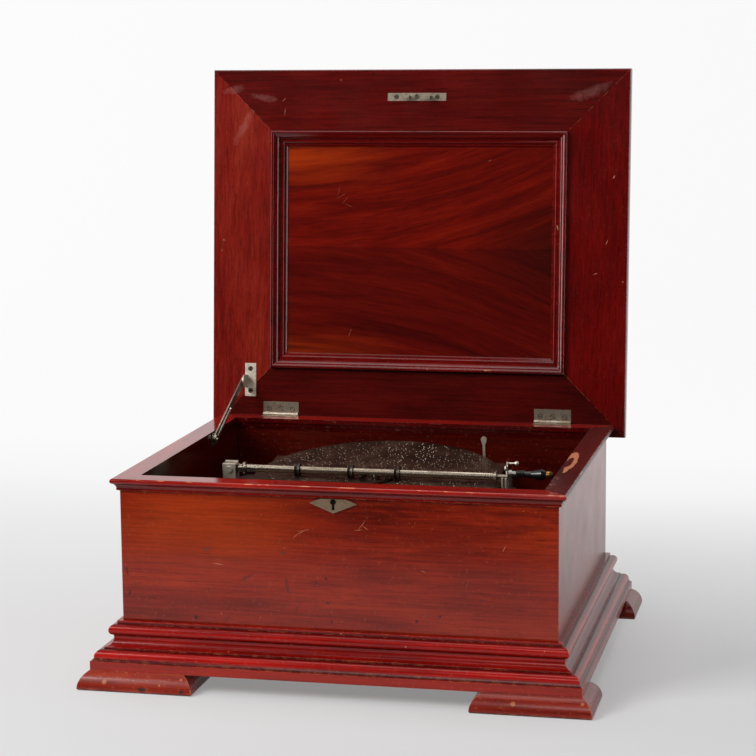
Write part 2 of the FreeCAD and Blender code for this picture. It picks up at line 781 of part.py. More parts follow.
def bevel_gear(teeth, mate_teeth, turn=0.0):
    """Bevel gear with its apex at the origin and its axis along +Z; a gap lies towards +X at turn 0."""
    radius = bevel_module * teeth / 2
    rise = bevel_module * mate_teeth / 2
    cone = math.hypot(radius, rise)
    cos_p = rise / cone
    sin_p = radius / cone
    small = (cone - bevel_face) / cone

    def at(height, scale):
        return ((radius + height * cos_p) * scale, (rise - height * sin_p) * scale)

    tip = 0.95 * bevel_module
    root = -1.25 * bevel_module
    steps = [(0, at(root, small)[1]), at(root, small), at(tip, small), at(tip, 1.0), at(root, 1.0), (0, at(root, 1.0)[1])]
    face = Part.Face(Part.makePolygon([Vec(r, 0, z) for r, z in steps + steps[:1]]))
    gear = face.revolve(ORIGIN, Z_AXIS, 360)
    slope = math.tan(math.radians(20))
    half_gap = math.pi * bevel_module / 4 + bevel_backlash
    beyond = 1.3
    cutters = []
    for height, half in ((root, half_gap + root * slope), (tip + 0.6, half_gap + (tip + 0.6) * slope)):
        r, z = at(height, beyond)
        cutters += [Vec(r, -half * beyond, z), Vec(r, half * beyond, z)]
    a, b, c, d = cutters[0], cutters[1], cutters[3], cutters[2]
    loops = [[a, b, c, d], [a, b, ORIGIN], [b, c, ORIGIN], [c, d, ORIGIN], [d, a, ORIGIN]]
    shell = Part.makeShell([Part.Face(Part.makePolygon(loop + loop[:1])) for loop in loops])
    cutter = Part.makeSolid(shell)
    gaps = []
    for tooth in range(teeth):
        gap = cutter.copy()
        gap.rotate(ORIGIN, Z_AXIS, 360.0 * tooth / teeth + turn)
        gaps.append(gap)
    return gear.cut(Part.makeCompound(gaps))


# Movement, drawn in its own frame

def pitch_distance(a, b):
    return gear_module * (a + b) / 2


def gear_places():
    """Centres of the barrel, train wheel and governor, from the gears' pitch circles."""
    barrel_gap = pitch_distance(great_teeth, disc_pinion_teeth)
    barrel = (math.sqrt(barrel_gap ** 2 - crank_y ** 2), crank_y)
    gap = pitch_distance(great_teeth, train_pinion_teeth)
    train = (barrel[0] + gap * math.cos(math.radians(train_bearing)),
             barrel[1] + gap * math.sin(math.radians(train_bearing)))
    gap = pitch_distance(train_wheel_teeth, fan_pinion_teeth)
    fan = (train[0] + gap * math.cos(math.radians(fan_bearing)), train[1] + gap * math.sin(math.radians(fan_bearing)))
    return barrel, train, fan


def make_disc():
    sheet = rod(disc_radius, (0, 0, -disc_thickness), Z_AXIS, disc_thickness)
    holes = [rod(spindle_radius + hole_play, (0, 0, -2), Z_AXIS, 4)]
    for peg in range(drive_peg_count):
        a = 2 * math.pi * peg / drive_peg_count
        centre = (drive_peg_circle * math.cos(a), drive_peg_circle * math.sin(a), -2)
        holes.append(rod(drive_peg_radius + hole_play, centre, Z_AXIS, 4))
    tabs = []
    for ring in range(1, ring_count):
        radius = ring_first + ring * ring_pitch
        for slot in range(slots_per_ring):
            a = ring * ring_turn + slot * (360.0 / slots_per_ring) + slot_turn * math.sin(ring + 2.4 * slot)
            window = box(radius - slot_width / 2, radius + slot_width / 2, -slot_length / 2, slot_length / 2, -2, 2)
            tab = box(radius - slot_width / 2, radius + slot_width / 2, slot_length / 2, slot_length / 2 + 0.6,
                      -disc_thickness - tab_drop, -disc_thickness / 2)
            window.rotate(ORIGIN, Z_AXIS, a)
            tab.rotate(ORIGIN, Z_AXIS, a)
            holes.append(window)
            tabs.append(tab)
    sheet = sheet.cut(Part.makeCompound(holes))
    parts["disc"] = to_case(sheet.fuse(tabs))


def make_disc_arbor():
    hub = rod(hub_radius, (0, 0, -disc_thickness - hub_thickness), Z_AXIS, hub_thickness)
    spindle = rod(spindle_radius, (0, 0, -plate_drop - plate_thickness), Z_AXIS,
                  plate_drop + plate_thickness + spindle_tip)
    pieces = [hub, spindle]
    for peg in range(drive_peg_count):
        a = 2 * math.pi * peg / drive_peg_count
        centre = (drive_peg_circle * math.cos(a), drive_peg_circle * math.sin(a), -disc_thickness - 1)
        pieces.append(rod(drive_peg_radius, centre, Z_AXIS, disc_thickness + 1 + drive_peg_tip))
    pieces.append(spur_gear(disc_pinion_teeth, gear_width, -great_gear_drop - gear_width, disc_pinion_turn()))
    parts["disc_arbor"] = to_case(fuse(pieces))


def bearing_of(a, b):
    return math.degrees(math.atan2(b[1] - a[1], b[0] - a[0]))


def disc_pinion_turn():
    """A gap of the disc's pinion faces the great gear, whose tooth points back along the line of centres."""
    barrel = gear_places()[0]
    return bearing_of((0, 0), barrel) + 180.0 / disc_pinion_teeth


def great_turn():
    barrel = gear_places()[0]
    return bearing_of(barrel, (0, 0))


def meshed_turn(teeth, centre, driver_teeth, driver_centre, driver_turn):
    """Turn of a gear whose gap takes the nearest tooth of its driver, off the line of centres by its phase."""
    toward = bearing_of(driver_centre, centre)
    phase = ((toward - driver_turn) * driver_teeth / 360.0) % 1.0
    return toward + 180.0 + (phase + 0.5) * 360.0 / teeth


def make_drive():
    barrel, train, fan = gear_places()
    low = -great_gear_drop - gear_width
    drum = rod(barrel_radius, (barrel[0], barrel[1], low - barrel_length), Z_AXIS, barrel_length)
    rim = rod(barrel_radius + 1.5, (barrel[0], barrel[1], low - barrel_length), Z_AXIS, 3.0)
    great = spur_gear(great_teeth, gear_width, low, great_turn())
    great.translate(Vec(barrel[0], barrel[1], 0))
    bore = rod(shaft_radius + shaft_play, (barrel[0], barrel[1], low - barrel_length - 1), Z_AXIS,
               barrel_length + gear_width + 2)
    parts["spring_barrel"] = to_case(fuse([drum, rim, great]).cut(bore))
    bevel = bevel_gear(bevel_wheel_teeth, bevel_pinion_teeth)
    bevel.rotate(ORIGIN, X_AXIS, 180)
    apex_z = crank_z - crank_arm
    bevel.translate(Vec(barrel[0], barrel[1], apex_z))
    arbor = rod(shaft_radius, (barrel[0], barrel[1], -plate_drop - plate_thickness), Z_AXIS,
                plate_drop + plate_thickness + apex_z - bevel_module * bevel_pinion_teeth / 2 + 1)
    parts["barrel_arbor"] = to_case(fuse([bevel, arbor]))
    train_pinion = spur_gear(train_pinion_teeth, gear_width + 2, low - 1,
                             meshed_turn(train_pinion_teeth, train, great_teeth, barrel, great_turn()))
    wheel_turn = 0.0
    train_gear = spur_gear(train_wheel_teeth, 3.0, -train_wheel_drop - 3.0, wheel_turn)
    arbor = rod(arbor_radius, (0, 0, -plate_drop - plate_thickness), Z_AXIS, plate_drop + plate_thickness - bed_top - 1)
    wheel = fuse([train_pinion, train_gear, arbor])
    wheel.translate(Vec(train[0], train[1], 0))
    parts["train_wheel"] = to_case(wheel)
    fan_turn = meshed_turn(fan_pinion_teeth, fan, train_wheel_teeth, train, wheel_turn)
    pinion = spur_gear(fan_pinion_teeth, 5.0, -train_wheel_drop - 4.0, fan_turn)
    arbor = rod(arbor_radius, (0, 0, -plate_drop - plate_thickness), Z_AXIS, plate_drop + plate_thickness - bed_top - 1)
    blade_top = -train_wheel_drop - 16
    blade = box(-fan_radius, fan_radius, -fan_thickness / 2, fan_thickness / 2, blade_top - fan_height, blade_top)
    governor = fuse([pinion, arbor, blade])
    governor.translate(Vec(fan[0], fan[1], 0))
    parts["governor"] = to_case(governor)


def make_winding():
    axis_z = crank_z - crank_arm
    barrel = gear_places()[0]
    pinion = bevel_gear(bevel_pinion_teeth, bevel_wheel_teeth, 180.0 / bevel_pinion_teeth)
    pinion.rotate(ORIGIN, Y_AXIS, 90)
    pinion.translate(Vec(barrel[0], crank_y, axis_z))
    start = barrel[0] + bevel_module * bevel_wheel_teeth / 2 - 1
    outer = crank_arm_x + crank_arm_thickness
    shaft = rod(shaft_radius, (start, crank_y, axis_z), X_AXIS, outer - start + 1.0)
    arm_box = box(crank_arm_x, outer, crank_y - crank_arm_width / 2, crank_y + crank_arm_width / 2, axis_z, crank_z)
    arm_ends = [rod(crank_arm_width / 2, (crank_arm_x, crank_y, z), X_AXIS, crank_arm_thickness) for z in (axis_z, crank_z)]
    boss = rod(crank_arm_width / 2 + 2, (outer - 0.5, crank_y, axis_z), X_AXIS, 4.0)
    pin = rod(grip_pin_radius, (outer - 1, crank_y, crank_z), X_AXIS, grip_x + grip_span - outer)
    shoulder = rod(grip_neck_radius, (outer - 1, crank_y, crank_z), X_AXIS, grip_start + 1 - running_gap)
    parts["winding_shaft"] = to_case(fuse([pinion, shaft, arm_box] + arm_ends + [boss, pin, shoulder]))
    parts["crank_grip"] = to_case(make_grip(grip_x))
    cap_x = grip_x + grip_span
    profile = [(0, 0.8), (0.16, 1.0), (0.5, 1.0), (0.88, 0.62), (1.0, 0.16)]
    steps = [(cap_x, 0)] + [(cap_x + cap_length * at, cap_radius * share) for at, share in profile]
    steps.append((cap_x + cap_length, 0))
    cap = outline(steps, lambda x, r: Vec(x, crank_y, crank_z + r)).revolve(Vec(0, crank_y, crank_z), X_AXIS, 360)
    parts["crank_cap"] = to_case(cap)


def make_grip(start):
    """Turned grip: a run of rings at the arm end, then a flaring body; it turns on the crank's pin."""
    steps = [(start, grip_pin_radius + pin_play), (start, grip_neck_radius)]
    for ring in range(grip_ring_count):
        x = start + ring * grip_ring_pitch
        steps += [(x + grip_ring_pitch / 2, grip_ring_radius), (x + grip_ring_pitch, grip_neck_radius)]
    body = start + grip_ring_count * grip_ring_pitch
    end = body + grip_length - running_gap
    flare = grip_end_radius - grip_neck_radius
    steps += [(body + grip_length * at, grip_neck_radius + flare * share)
              for at, share in ((0.3, 0.2), (0.8, 1.0))]
    steps.append((end, grip_end_radius - 2.2))
    steps.append((end, grip_pin_radius + pin_play))
    face = outline(steps, lambda x, r: Vec(x, crank_y, crank_z + r))
    return face.revolve(Vec(0, crank_y, crank_z), X_AXIS, 360)


def make_bedplate():
    low = -bed_top - bed_thickness
    c = bed_corner
    points = [(bed_left + c, bed_front), (bed_right - c, bed_front), (bed_right, bed_front + c), (bed_right, bed_rear - c),
              (bed_right - c, bed_rear), (bed_left + c, bed_rear), (bed_left, bed_rear - c), (bed_left, bed_front + c)]
    plate = prism([(x, y, low) for x, y in points], Z_AXIS * bed_thickness)
    half = start_arm_width / 2
    tongue = box(start_x - half, start_x + half, bed_rear - 10, start_y + 8, low, -bed_top)
    pieces = [plate, tongue]
    axis_z = crank_z - crank_arm
    for x in (lug_inner_x, lug_outer_x):
        pieces.append(box(x - lug_thickness / 2, x + lug_thickness / 2, crank_y - lug_width / 2, crank_y + lug_width / 2,
                          low - lug_reach, low))
    shaft_z = -star_drop
    first = -ring_first - (ring_count - 1) * ring_pitch
    for x in (first - 4.0, -ring_first + 4.0):
        pieces.append(box(x - 1.5, x + 1.5, -6, 6, -bed_top, shaft_z + 4.0))
    comb_front = -star_radius - comb_gap - comb_tooth_length - comb_land
    pieces.append(box(first - 4, -ring_first + 4, comb_front - 3, comb_front + comb_land + 2, -bed_top,
                      shaft_z - comb_thickness))
    for sign in (-1, 1):
        pieces.append(box(start_x - 6, start_x + 6, start_y + sign * 3.4 - 1.2, start_y + sign * 3.4 + 1.2,
                          -bed_top, -start_pivot_drop + 5))
    bed = fuse(pieces)
    barrel, train, fan = gear_places()
    cuts = [rod(shaft_radius + shaft_play, (lug_inner_x - 10, crank_y, axis_z), X_AXIS, 90)]
    cuts.append(rod(star_shaft_radius + shaft_play, (first - 20, 0, shaft_z), X_AXIS, 200))
    cuts.append(rod(spindle_radius + shaft_play, (0, 0, low - 1), Z_AXIS, bed_thickness + 2))
    for centre in (train, fan):
        cuts.append(rod(arbor_radius + shaft_play, (centre[0], centre[1], low - 1), Z_AXIS, bed_thickness + 2))
    cuts.append(rod(start_pin_radius, (start_x, start_y - 20, -start_pivot_drop), Y_AXIS, 40))
    cuts.append(box(first + 4, -ring_first - window_inset, -star_radius - 4, bed_rear - 22, low - 1, -bed_top + 1))
    bed = bed.cut(Part.makeCompound(cuts))
    parts["bedplate"] = to_case(bed)
    make_supports(low)


def make_supports(low):
    """Wooden bearers from wall to wall under the bedplate, and the lower plate hung on its pillars."""
    inside = box(-inner_x, inner_x, -inner_y, inner_y, plinth_top, rim_bottom)
    axis_z = crank_z - crank_arm
    for name, x in (("bearer_left", bearer_left_x), ("bearer_right", bearer_right_x)):
        bar = box(x - bearer_width / 2, x + bearer_width / 2, -2 * inner_y, 2 * inner_y, low - bearer_height, low)
        bar = bar.cut(rod(shaft_radius + 4, (x - bearer_width, crank_y, axis_z), X_AXIS, 2 * bearer_width))
        parts[name] = to_case(bar).common(inside)
    barrel, train, fan = gear_places()
    plate = box(plate_left, plate_right, plate_front, plate_rear, -plate_drop - plate_thickness, -plate_drop)
    pieces = [plate]
    for x in (plate_left + pillar_inset, plate_right - pillar_inset):
        for y in (plate_front + pillar_inset, plate_rear - pillar_inset):
            pieces.append(rod(pillar_radius, (x, y, -plate_drop - 1), Z_AXIS, plate_drop + 1 + low))
    plate = fuse(pieces)
    for centre, radius in (((0, 0), spindle_radius), (barrel, shaft_radius), (train, arbor_radius), (fan, arbor_radius)):
        plate = plate.cut(rod(radius + shaft_play, (centre[0], centre[1], -plate_drop - plate_thickness - 1), Z_AXIS,
                              plate_thickness + 2))
    parts["lower_plate"] = to_case(plate)


def make_music():
    first = -ring_first - (ring_count - 1) * ring_pitch
    ends = 5.5
    corners = [(first - 2, star_hub * math.cos(math.radians(a)), star_hub * math.sin(math.radians(a)) - star_drop)
               for a in range(0, 360, 60)]
    wheels = [prism(corners, X_AXIS * (4 - ring_first - first))]
    wheels.append(rod(star_shaft_radius, (first - ends, 0, -star_drop), X_AXIS, ends - 1))
    wheels.append(rod(star_shaft_radius, (1 - ring_first, 0, -star_drop), X_AXIS, ends - 1))
    for ring in range(ring_count):
        x = first + ring * ring_pitch - star_thickness / 2
        points = []
        for corner in range(2 * star_points):
            a = math.pi * corner / star_points + ring * 0.31
            r = star_radius if corner % 2 == 0 else star_root
            points.append((x, r * math.cos(a), r * math.sin(a) - star_drop))
        wheels.append(prism(points, X_AXIS * star_thickness))
    parts["star_wheels"] = to_case(fuse(wheels))
    tip_y = -star_radius - comb_gap
    land_y = tip_y - comb_tooth_length
    top = -star_drop
    land = box(first - 3, -ring_first + 3, land_y - comb_land, land_y, top - comb_thickness, top)
    teeth = []
    for ring in range(ring_count):
        x = first + ring * ring_pitch
        teeth.append(box(x - comb_tooth_width / 2, x + comb_tooth_width / 2, land_y - 0.5, tip_y,
                         top - comb_tooth_thickness, top))
    comb = land.fuse(teeth)
    for index in range(comb_screw_count):
        x = first + (index + 0.5) * (ring_count - 1) * ring_pitch / comb_screw_count
        comb = comb.fuse(many_sided(comb_screw_radius, screw_sides, (x, land_y - comb_land / 2, top), Z_AXIS, comb_screw_head))
    parts["comb"] = to_case(comb.removeSplitter())


def make_bar():
    z = bar_height
    start = bar_pivot_x + math.hypot(post_width / 2, post_crown) + running_gap
    shaft = rod(bar_radius, (start, 0, z), X_AXIS, bar_right_x - start)
    tenon = rod(tenon_radius, (bar_right_x - 1, 0, z), X_AXIS, cheek_face_x - bar_right_x + 1.6)
    tongue = box(bar_pivot_x, start + 1, -bar_tongue / 2, bar_tongue / 2, z - bar_radius, z + bar_radius)
    eye = rod(bar_radius, (bar_pivot_x, -bar_tongue / 2, z), Y_AXIS, bar_tongue)
    collar = rod(collar_radius, (collar_left_x - collar_thickness / 2, 0, z), X_AXIS, collar_thickness)
    collar = collar.makeChamfer(1.4, collar.Edges)
    cone = Part.makeCone(bar_radius, collar_radius, cone_length, Vec(bar_right_x - cone_length, 0, z), X_AXIS)
    ring_top = hold_ring_low + hold_ring_thickness
    ring = rod(hold_ring_radius, (0, 0, hold_ring_low), Z_AXIS, hold_ring_thickness)
    ring = ring.cut(rod(hold_ring_bore, (0, 0, 0), Z_AXIS, ring_top + 1))
    socket = rod(socket_radius, (0, 0, ring_top), Z_AXIS, z - ring_top)
    pieces = [shaft, tenon, tongue, eye, collar, cone, socket]
    for sign in (-1, 1):
        pieces.append(rod(hold_down_pin, (sign * hold_down_x, 0, ring_top - 0.8), Z_AXIS, z - ring_top + 0.8))
    bar = fuse(pieces + [ring])
    bar = bar.cut(rod(spindle_radius + hole_play, (0, 0, 0), Z_AXIS, spindle_tip + running_gap))
    bar = bar.cut(rod(pivot_pin_radius + pin_play, (bar_pivot_x, -post_depth, z), Y_AXIS, 2 * post_depth))
    room = running_gap
    for x in roller_xs:
        seat = rod(bar_radius + 1, (x - roller_thickness / 2 - room, 0, z), X_AXIS, roller_thickness + 2 * room)
        core = rod(tenon_radius, (x - roller_thickness, 0, z), X_AXIS, 2 * roller_thickness)
        bar = bar.cut(seat.cut(core))
    parts["pressure_bar"] = to_case(bar)
    for name, x in zip(("roller_left", "roller_middle", "roller_right"), roller_xs):
        parts[name] = to_case(make_roller(x))


def make_roller(x):
    """A roller with a shallow groove in its tread, running on a turned-down part of the bar."""
    half = roller_thickness / 2
    bore = tenon_radius + pin_play
    rim = roller_radius
    steps = [(x - half, bore), (x - half, rim), (x, rim - roller_groove), (x + half, rim), (x + half, bore)]
    return outline(steps, lambda a, r: Vec(a, 0, bar_height + r)).revolve(Vec(0, 0, bar_height), X_AXIS, 360)


def make_posts():
    z = bar_height
    half = post_width / 2
    gap = bar_tongue / 2 + tongue_play
    column = box(bar_pivot_x - half, bar_pivot_x + half, -post_depth / 2, post_depth / 2, -bed_top, z + post_crown)
    slot = box(bar_pivot_x - half - 1, bar_pivot_x + half + 1, -gap, gap, z - bar_radius - 2.5, z + post_crown + 1)
    rim = post_foot_margin
    foot = box(bar_pivot_x - half - rim, bar_pivot_x + half + rim, -post_depth / 2 - rim, post_depth / 2 + rim,
               -bed_top, -bed_top + post_foot_height)
    pin = rod(pivot_pin_radius, (bar_pivot_x, -post_depth / 2 - 0.6, z), Y_AXIS, post_depth + 1.2)
    head = rod(post_pin_head, (bar_pivot_x, -post_depth / 2 - 1.6, z), Y_AXIS, 1.6)
    parts["bar_post_left"] = to_case(fuse([column.cut(slot), foot, pin, head]))
    notch = rod(tenon_radius + running_gap, (cheek_inner_x - 5, 0, z), X_AXIS, 15)
    reach = latch_pivot_y + 4
    cheeks = []
    for x in (cheek_inner_x, cheek_outer_x):
        x0 = x - cheek_thickness / 2
        upright = box(x0, x0 + cheek_thickness, -cheek_half_depth, cheek_half_depth, -bed_top, z)
        ear = box(x0, x0 + cheek_thickness, 0, reach, -bed_top, latch_pivot_z + 4)
        cheeks.append(upright.fuse(ear).cut(notch))
    left_face = cheek_inner_x - cheek_thickness / 2
    sole = box(left_face, cheek_face_x, -cheek_half_depth, reach, -bed_top, -bed_top + 5)
    pin = rod(latch_pin_radius, (left_face, latch_pivot_y, latch_pivot_z), X_AXIS, cheek_face_x - left_face)
    parts["bar_post_right"] = to_case(fuse(cheeks + [sole, pin]))


def make_latch():
    """Hook between the cheeks, drawn over the tenon and then turned back clear of it."""
    x = (cheek_inner_x + cheek_outer_x) / 2 - latch_thickness / 2
    y = latch_pivot_y
    z = latch_pivot_z
    over = bar_height + tenon_radius + running_gap
    points = [(x, y - 3, z - 3), (x, y + 3, z - 3), (x, y + 3, over + 5), (x, -tenon_radius, over + 5),
              (x, -tenon_radius - 1.5, over + 1.5), (x, -tenon_radius, over), (x, y - 3, over)]
    hook = prism(points, X_AXIS * latch_thickness)
    hook = hook.cut(rod(latch_pin_radius + pin_play, (x - 1, y, z), X_AXIS, latch_thickness + 2))
    rod_y = y + 0.5
    stem = box(x, x + latch_thickness, rod_y - 2, rod_y + 2, over + 4, latch_ball_z + 1.5)
    arm = rod(latch_rod_radius, (x, rod_y, latch_ball_z), X_AXIS, latch_ball_x - x)
    ball_steps = [(latch_ball_radius * math.cos(math.radians(a)), latch_ball_radius * math.sin(math.radians(a)))
              for a in range(180, -1, -45)]
    ball = outline(ball_steps, lambda along, r: Vec(latch_ball_x + along, rod_y, latch_ball_z + r))
    ball = ball.revolve(Vec(0, rod_y, latch_ball_z), X_AXIS, 360)
    latch = fuse([hook, stem, arm, ball])
    latch.rotate(Vec(0, y, z), X_AXIS, -latch_open)
    parts["bar_latch"] = to_case(latch)


def make_start_lever():
    """A flat lever with a spoon-shaped finger end, on a pin between two ears of the bedplate."""
    y0 = start_y - start_thickness / 2
    neck = start_neck / 2
    spoon = start_spoon / 2
    top = start_tip
    steps = [(start_x - neck, -start_pivot_drop), (start_x - neck, top - 11),
             ((start_x - spoon * 0.8, top - 7), (start_x - spoon, top - 3.4)), ((start_x, top), (start_x + spoon, top - 3.4)),
             ((start_x + spoon * 0.8, top - 7), (start_x + neck, top - 11)), (start_x + neck, -start_pivot_drop)]
    blade = outline(steps, lambda x, z: Vec(x, y0, z)).extrude(Y_AXIS * start_thickness)
    eye = rod(4.0, (start_x, y0, -start_pivot_drop), Y_AXIS, start_thickness)
    lever = blade.fuse(eye).removeSplitter()
    pin_room = rod(start_pin_radius - 0.3 + pin_play, (start_x, y0 - 1, -start_pivot_drop), Y_AXIS, start_thickness + 2)
    parts["start_lever"] = to_case(lever.cut(pin_room))
    pin = rod(start_pin_radius - 0.3, (start_x, start_y - 5.6, -start_pivot_drop), Y_AXIS, 11.2)
    ends = rod(start_pin_radius + 1.2, (start_x, start_y - 5.6, -start_pivot_drop), Y_AXIS, 1.0)
    parts["start_pin"] = to_case(pin.fuse(ends))


def main():
    make_case()
    make_lid()
    make_stay()
    make_lock()
    make_escutcheon()
    make_disc()
    make_disc_arbor()
    make_drive()
    make_winding()
    make_bedplate()
    make_music()
    make_bar()
    make_posts()
    make_latch()
    make_start_lever()
    front = min(shape.BoundBox.YMin for shape in parts.values())
    back = max(shape.BoundBox.YMax for shape in parts.values())
    centre = Vec(0, -(front + back) / 2, 0)
    os.makedirs("parts", exist_ok=True)
    for name, shape in parts.items():
        shape.translate(centre)
        shape.exportStep("parts/" + name + ".step")
    print("pieces", len(parts), "shift", round(centre.y, 4))
    bad = [name for name, shape in parts.items() if not shape.isValid()]
    print("not valid:", bad)


main()
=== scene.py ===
"""Disc music box, dressed for rendering: varnished mahogany, aged nickel, a punched steel disc.

Metres, +Z up, front towards -Y. Every piece rides on the body that carries it.
"""
import json
import math
import random

import bmesh
import bpy
from mathutils import Matrix, Vector


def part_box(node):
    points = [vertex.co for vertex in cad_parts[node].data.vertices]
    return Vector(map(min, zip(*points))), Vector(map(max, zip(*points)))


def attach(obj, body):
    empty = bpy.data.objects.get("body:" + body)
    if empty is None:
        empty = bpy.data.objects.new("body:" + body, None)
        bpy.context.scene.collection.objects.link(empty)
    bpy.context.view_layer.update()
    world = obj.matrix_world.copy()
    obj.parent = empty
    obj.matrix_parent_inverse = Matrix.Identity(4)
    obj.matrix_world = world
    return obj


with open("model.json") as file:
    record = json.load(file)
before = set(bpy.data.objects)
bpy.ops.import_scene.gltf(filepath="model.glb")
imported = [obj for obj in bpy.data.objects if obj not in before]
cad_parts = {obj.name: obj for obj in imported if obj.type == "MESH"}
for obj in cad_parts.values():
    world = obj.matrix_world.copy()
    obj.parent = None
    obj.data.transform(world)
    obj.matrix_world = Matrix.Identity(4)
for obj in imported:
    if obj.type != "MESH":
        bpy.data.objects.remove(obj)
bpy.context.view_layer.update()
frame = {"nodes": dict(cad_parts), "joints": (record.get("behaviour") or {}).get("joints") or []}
nodes = frame["nodes"]
joints = {joint["name"]: joint for joint in frame["joints"]}

# Camera, solved from the case's edges in the photograph
image_width = 756
focal_pixels = 2229.38
sensor_width = 36.0
camera_yaw = math.radians(12.728)
camera_pitch = math.radians(8.858)
camera_roll = math.radians(-0.484)
camera_place = Vector((0.58047, -2.57301, 0.73502))

# The white table and backdrop
table_front = -0.84
table_half_width = 4.0
backdrop_y = 4.6
backdrop_radius = 1.0
backdrop_top = 2.6

# The disc's own frame
spin = joints["disc_spin"]
disc_centre = Vector(spin["pos_m"])
disc_axis = Vector(spin["axis"]).normalized()
disc_across = Vector((1, 0, 0))
disc_up = disc_axis.cross(disc_across)
hold_body = joints["bar_lift"]["child"]
lid_hinge = Vector(joints["lid_hinge"]["pos_m"])
stay_plate_x = -0.221
inner_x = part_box("right_wall")[0].x
inner_y = (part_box("back_wall")[0].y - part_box("front_wall")[1].y) / 2
case_y = (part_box("back_wall")[0].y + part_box("front_wall")[1].y) / 2
lid_lean = math.radians(4.5)
lid_up = Vector((0, math.sin(lid_lean), math.cos(lid_lean)))
lid_out = Vector((0, -math.cos(lid_lean), math.sin(lid_lean)))


def linear(red, green, blue):
    """A colour given as 0-255 display values, as the linear values that shaders take."""
    def one(value):
        value /= 255
        return value / 12.92 if value <= 0.04045 else ((value + 0.055) / 1.055) ** 2.4
    return (one(red), one(green), one(blue), 1.0)


class Shader:
    """A material under construction, with short calls for the nodes used here."""

    def __init__(self, name):
        self.material = bpy.data.materials.new(name)
        self.material.use_nodes = True
        self.tree = self.material.node_tree
        self.tree.nodes.clear()
        self.surface = self.add("ShaderNodeBsdfPrincipled")
        out = self.add("ShaderNodeOutputMaterial")
        self.tree.links.new(self.surface.outputs[0], out.inputs[0])

    def add(self, kind, **settings):
        """Add a node with these settings."""
        node = self.tree.nodes.new(kind)
        for key, value in settings.items():
            setattr(node, key, value)
        return node

    def put(self, socket, value):
        """Link an output to a socket, or set its value."""
        if isinstance(value, bpy.types.NodeSocket):
            self.tree.links.new(value, socket)
        else:
            socket.default_value = value

    def set(self, **values):
        """Set the Principled shader's inputs by name, with _ for a space."""
        for key, value in values.items():
            self.put(self.surface.inputs[key.replace("_", " ")], value)

    def place(self, scale=(1, 1, 1), shift=(0, 0, 0), turn=(0, 0, 0)):
        """Object coordinates, moved, turned and scaled."""
        mapping = self.add("ShaderNodeMapping")
        self.put(mapping.inputs["Vector"], self.add("ShaderNodeTexCoord").outputs["Object"])
        self.put(mapping.inputs["Location"], shift)
        self.put(mapping.inputs["Rotation"], turn)
        self.put(mapping.inputs["Scale"], scale)
        return mapping.outputs[0]

    def noise(self, vector, scale, detail=2.0, rough=0.5, distortion=0.0):
        node = self.add("ShaderNodeTexNoise")
        self.put(node.inputs["Vector"], vector)
        for name, value in (("Scale", scale), ("Detail", detail), ("Roughness", rough), ("Distortion", distortion)):
            node.inputs[name].default_value = value
        return node.outputs["Fac"]

    def cells(self, vector, scale, feature="F1", output="Distance"):
        node = self.add("ShaderNodeTexVoronoi", feature=feature)
        self.put(node.inputs["Vector"], vector)
        node.inputs["Scale"].default_value = scale
        return node.outputs[output]

    def ramp(self, factor, stops):
        """A colour ramp. stops: (position, colour or grey)."""
        node = self.add("ShaderNodeValToRGB")
        self.put(node.inputs[0], factor)
        elements = node.color_ramp.elements
        while len(elements) < len(stops):
            elements.new(0.5)
        for element, (position, colour) in zip(elements, stops):
            element.position = position
            element.color = colour if isinstance(colour, tuple) else (colour, colour, colour, 1.0)
        return node.outputs[0]

    def math(self, operation, first, second=0.0, clamp=False):
        node = self.add("ShaderNodeMath", operation=operation, use_clamp=clamp)
        self.put(node.inputs[0], first)
        self.put(node.inputs[1], second)
        return node.outputs[0]

    def mix(self, factor, first, second, mode="MIX"):
        node = self.add("ShaderNodeMix", data_type="RGBA", blend_type=mode)
        self.put(node.inputs[0], factor)
        self.put(node.inputs[6], first)
        self.put(node.inputs[7], second)
        return node.outputs[2]

    def split(self, vector):
        node = self.add("ShaderNodeSeparateXYZ")
        self.put(node.inputs[0], vector)
        return node.outputs

    def bump(self, height, strength, distance, normal=None):
        """A bumped normal, laid on another where one is given."""
        node = self.add("ShaderNodeBump")
        self.put(node.inputs["Height"], height)
        self.put(node.inputs["Strength"], strength)
        self.put(node.inputs["Distance"], distance)
        if normal is not None:
            self.put(node.inputs["Normal"], normal)
        return node.outputs[0]

    def worn_edge(self, radius, noise_scale, low, high):
        """Where the surface turns a sharp corner, broken up by noise."""
        bevel = self.add("ShaderNodeBevel", samples=4)
        bevel.inputs["Radius"].default_value = radius
        geometry = self.add("ShaderNodeNewGeometry")
        dot = self.add("ShaderNodeVectorMath", operation="DOT_PRODUCT")
        self.put(dot.inputs[0], bevel.outputs[0])
        self.put(dot.inputs[1], geometry.outputs["Normal"])
        turned = self.ramp(dot.outputs["Value"], [(0.80, 1.0), (0.985, 0.0)])
        broken = self.ramp(self.noise(self.place(), noise_scale, 5.0, 0.65), [(low, 0.0), (high, 1.0)])
        return self.math("MULTIPLY", turned, broken)

    def crevice(self, distance):
        """How much of the surroundings nearby is covered: 1 deep in a corner."""
        shade = self.add("ShaderNodeAmbientOcclusion", samples=6)
        shade.inputs["Distance"].default_value = distance
        return self.math("SUBTRACT", 1.0, shade.outputs["AO"], clamp=True)


# Wood

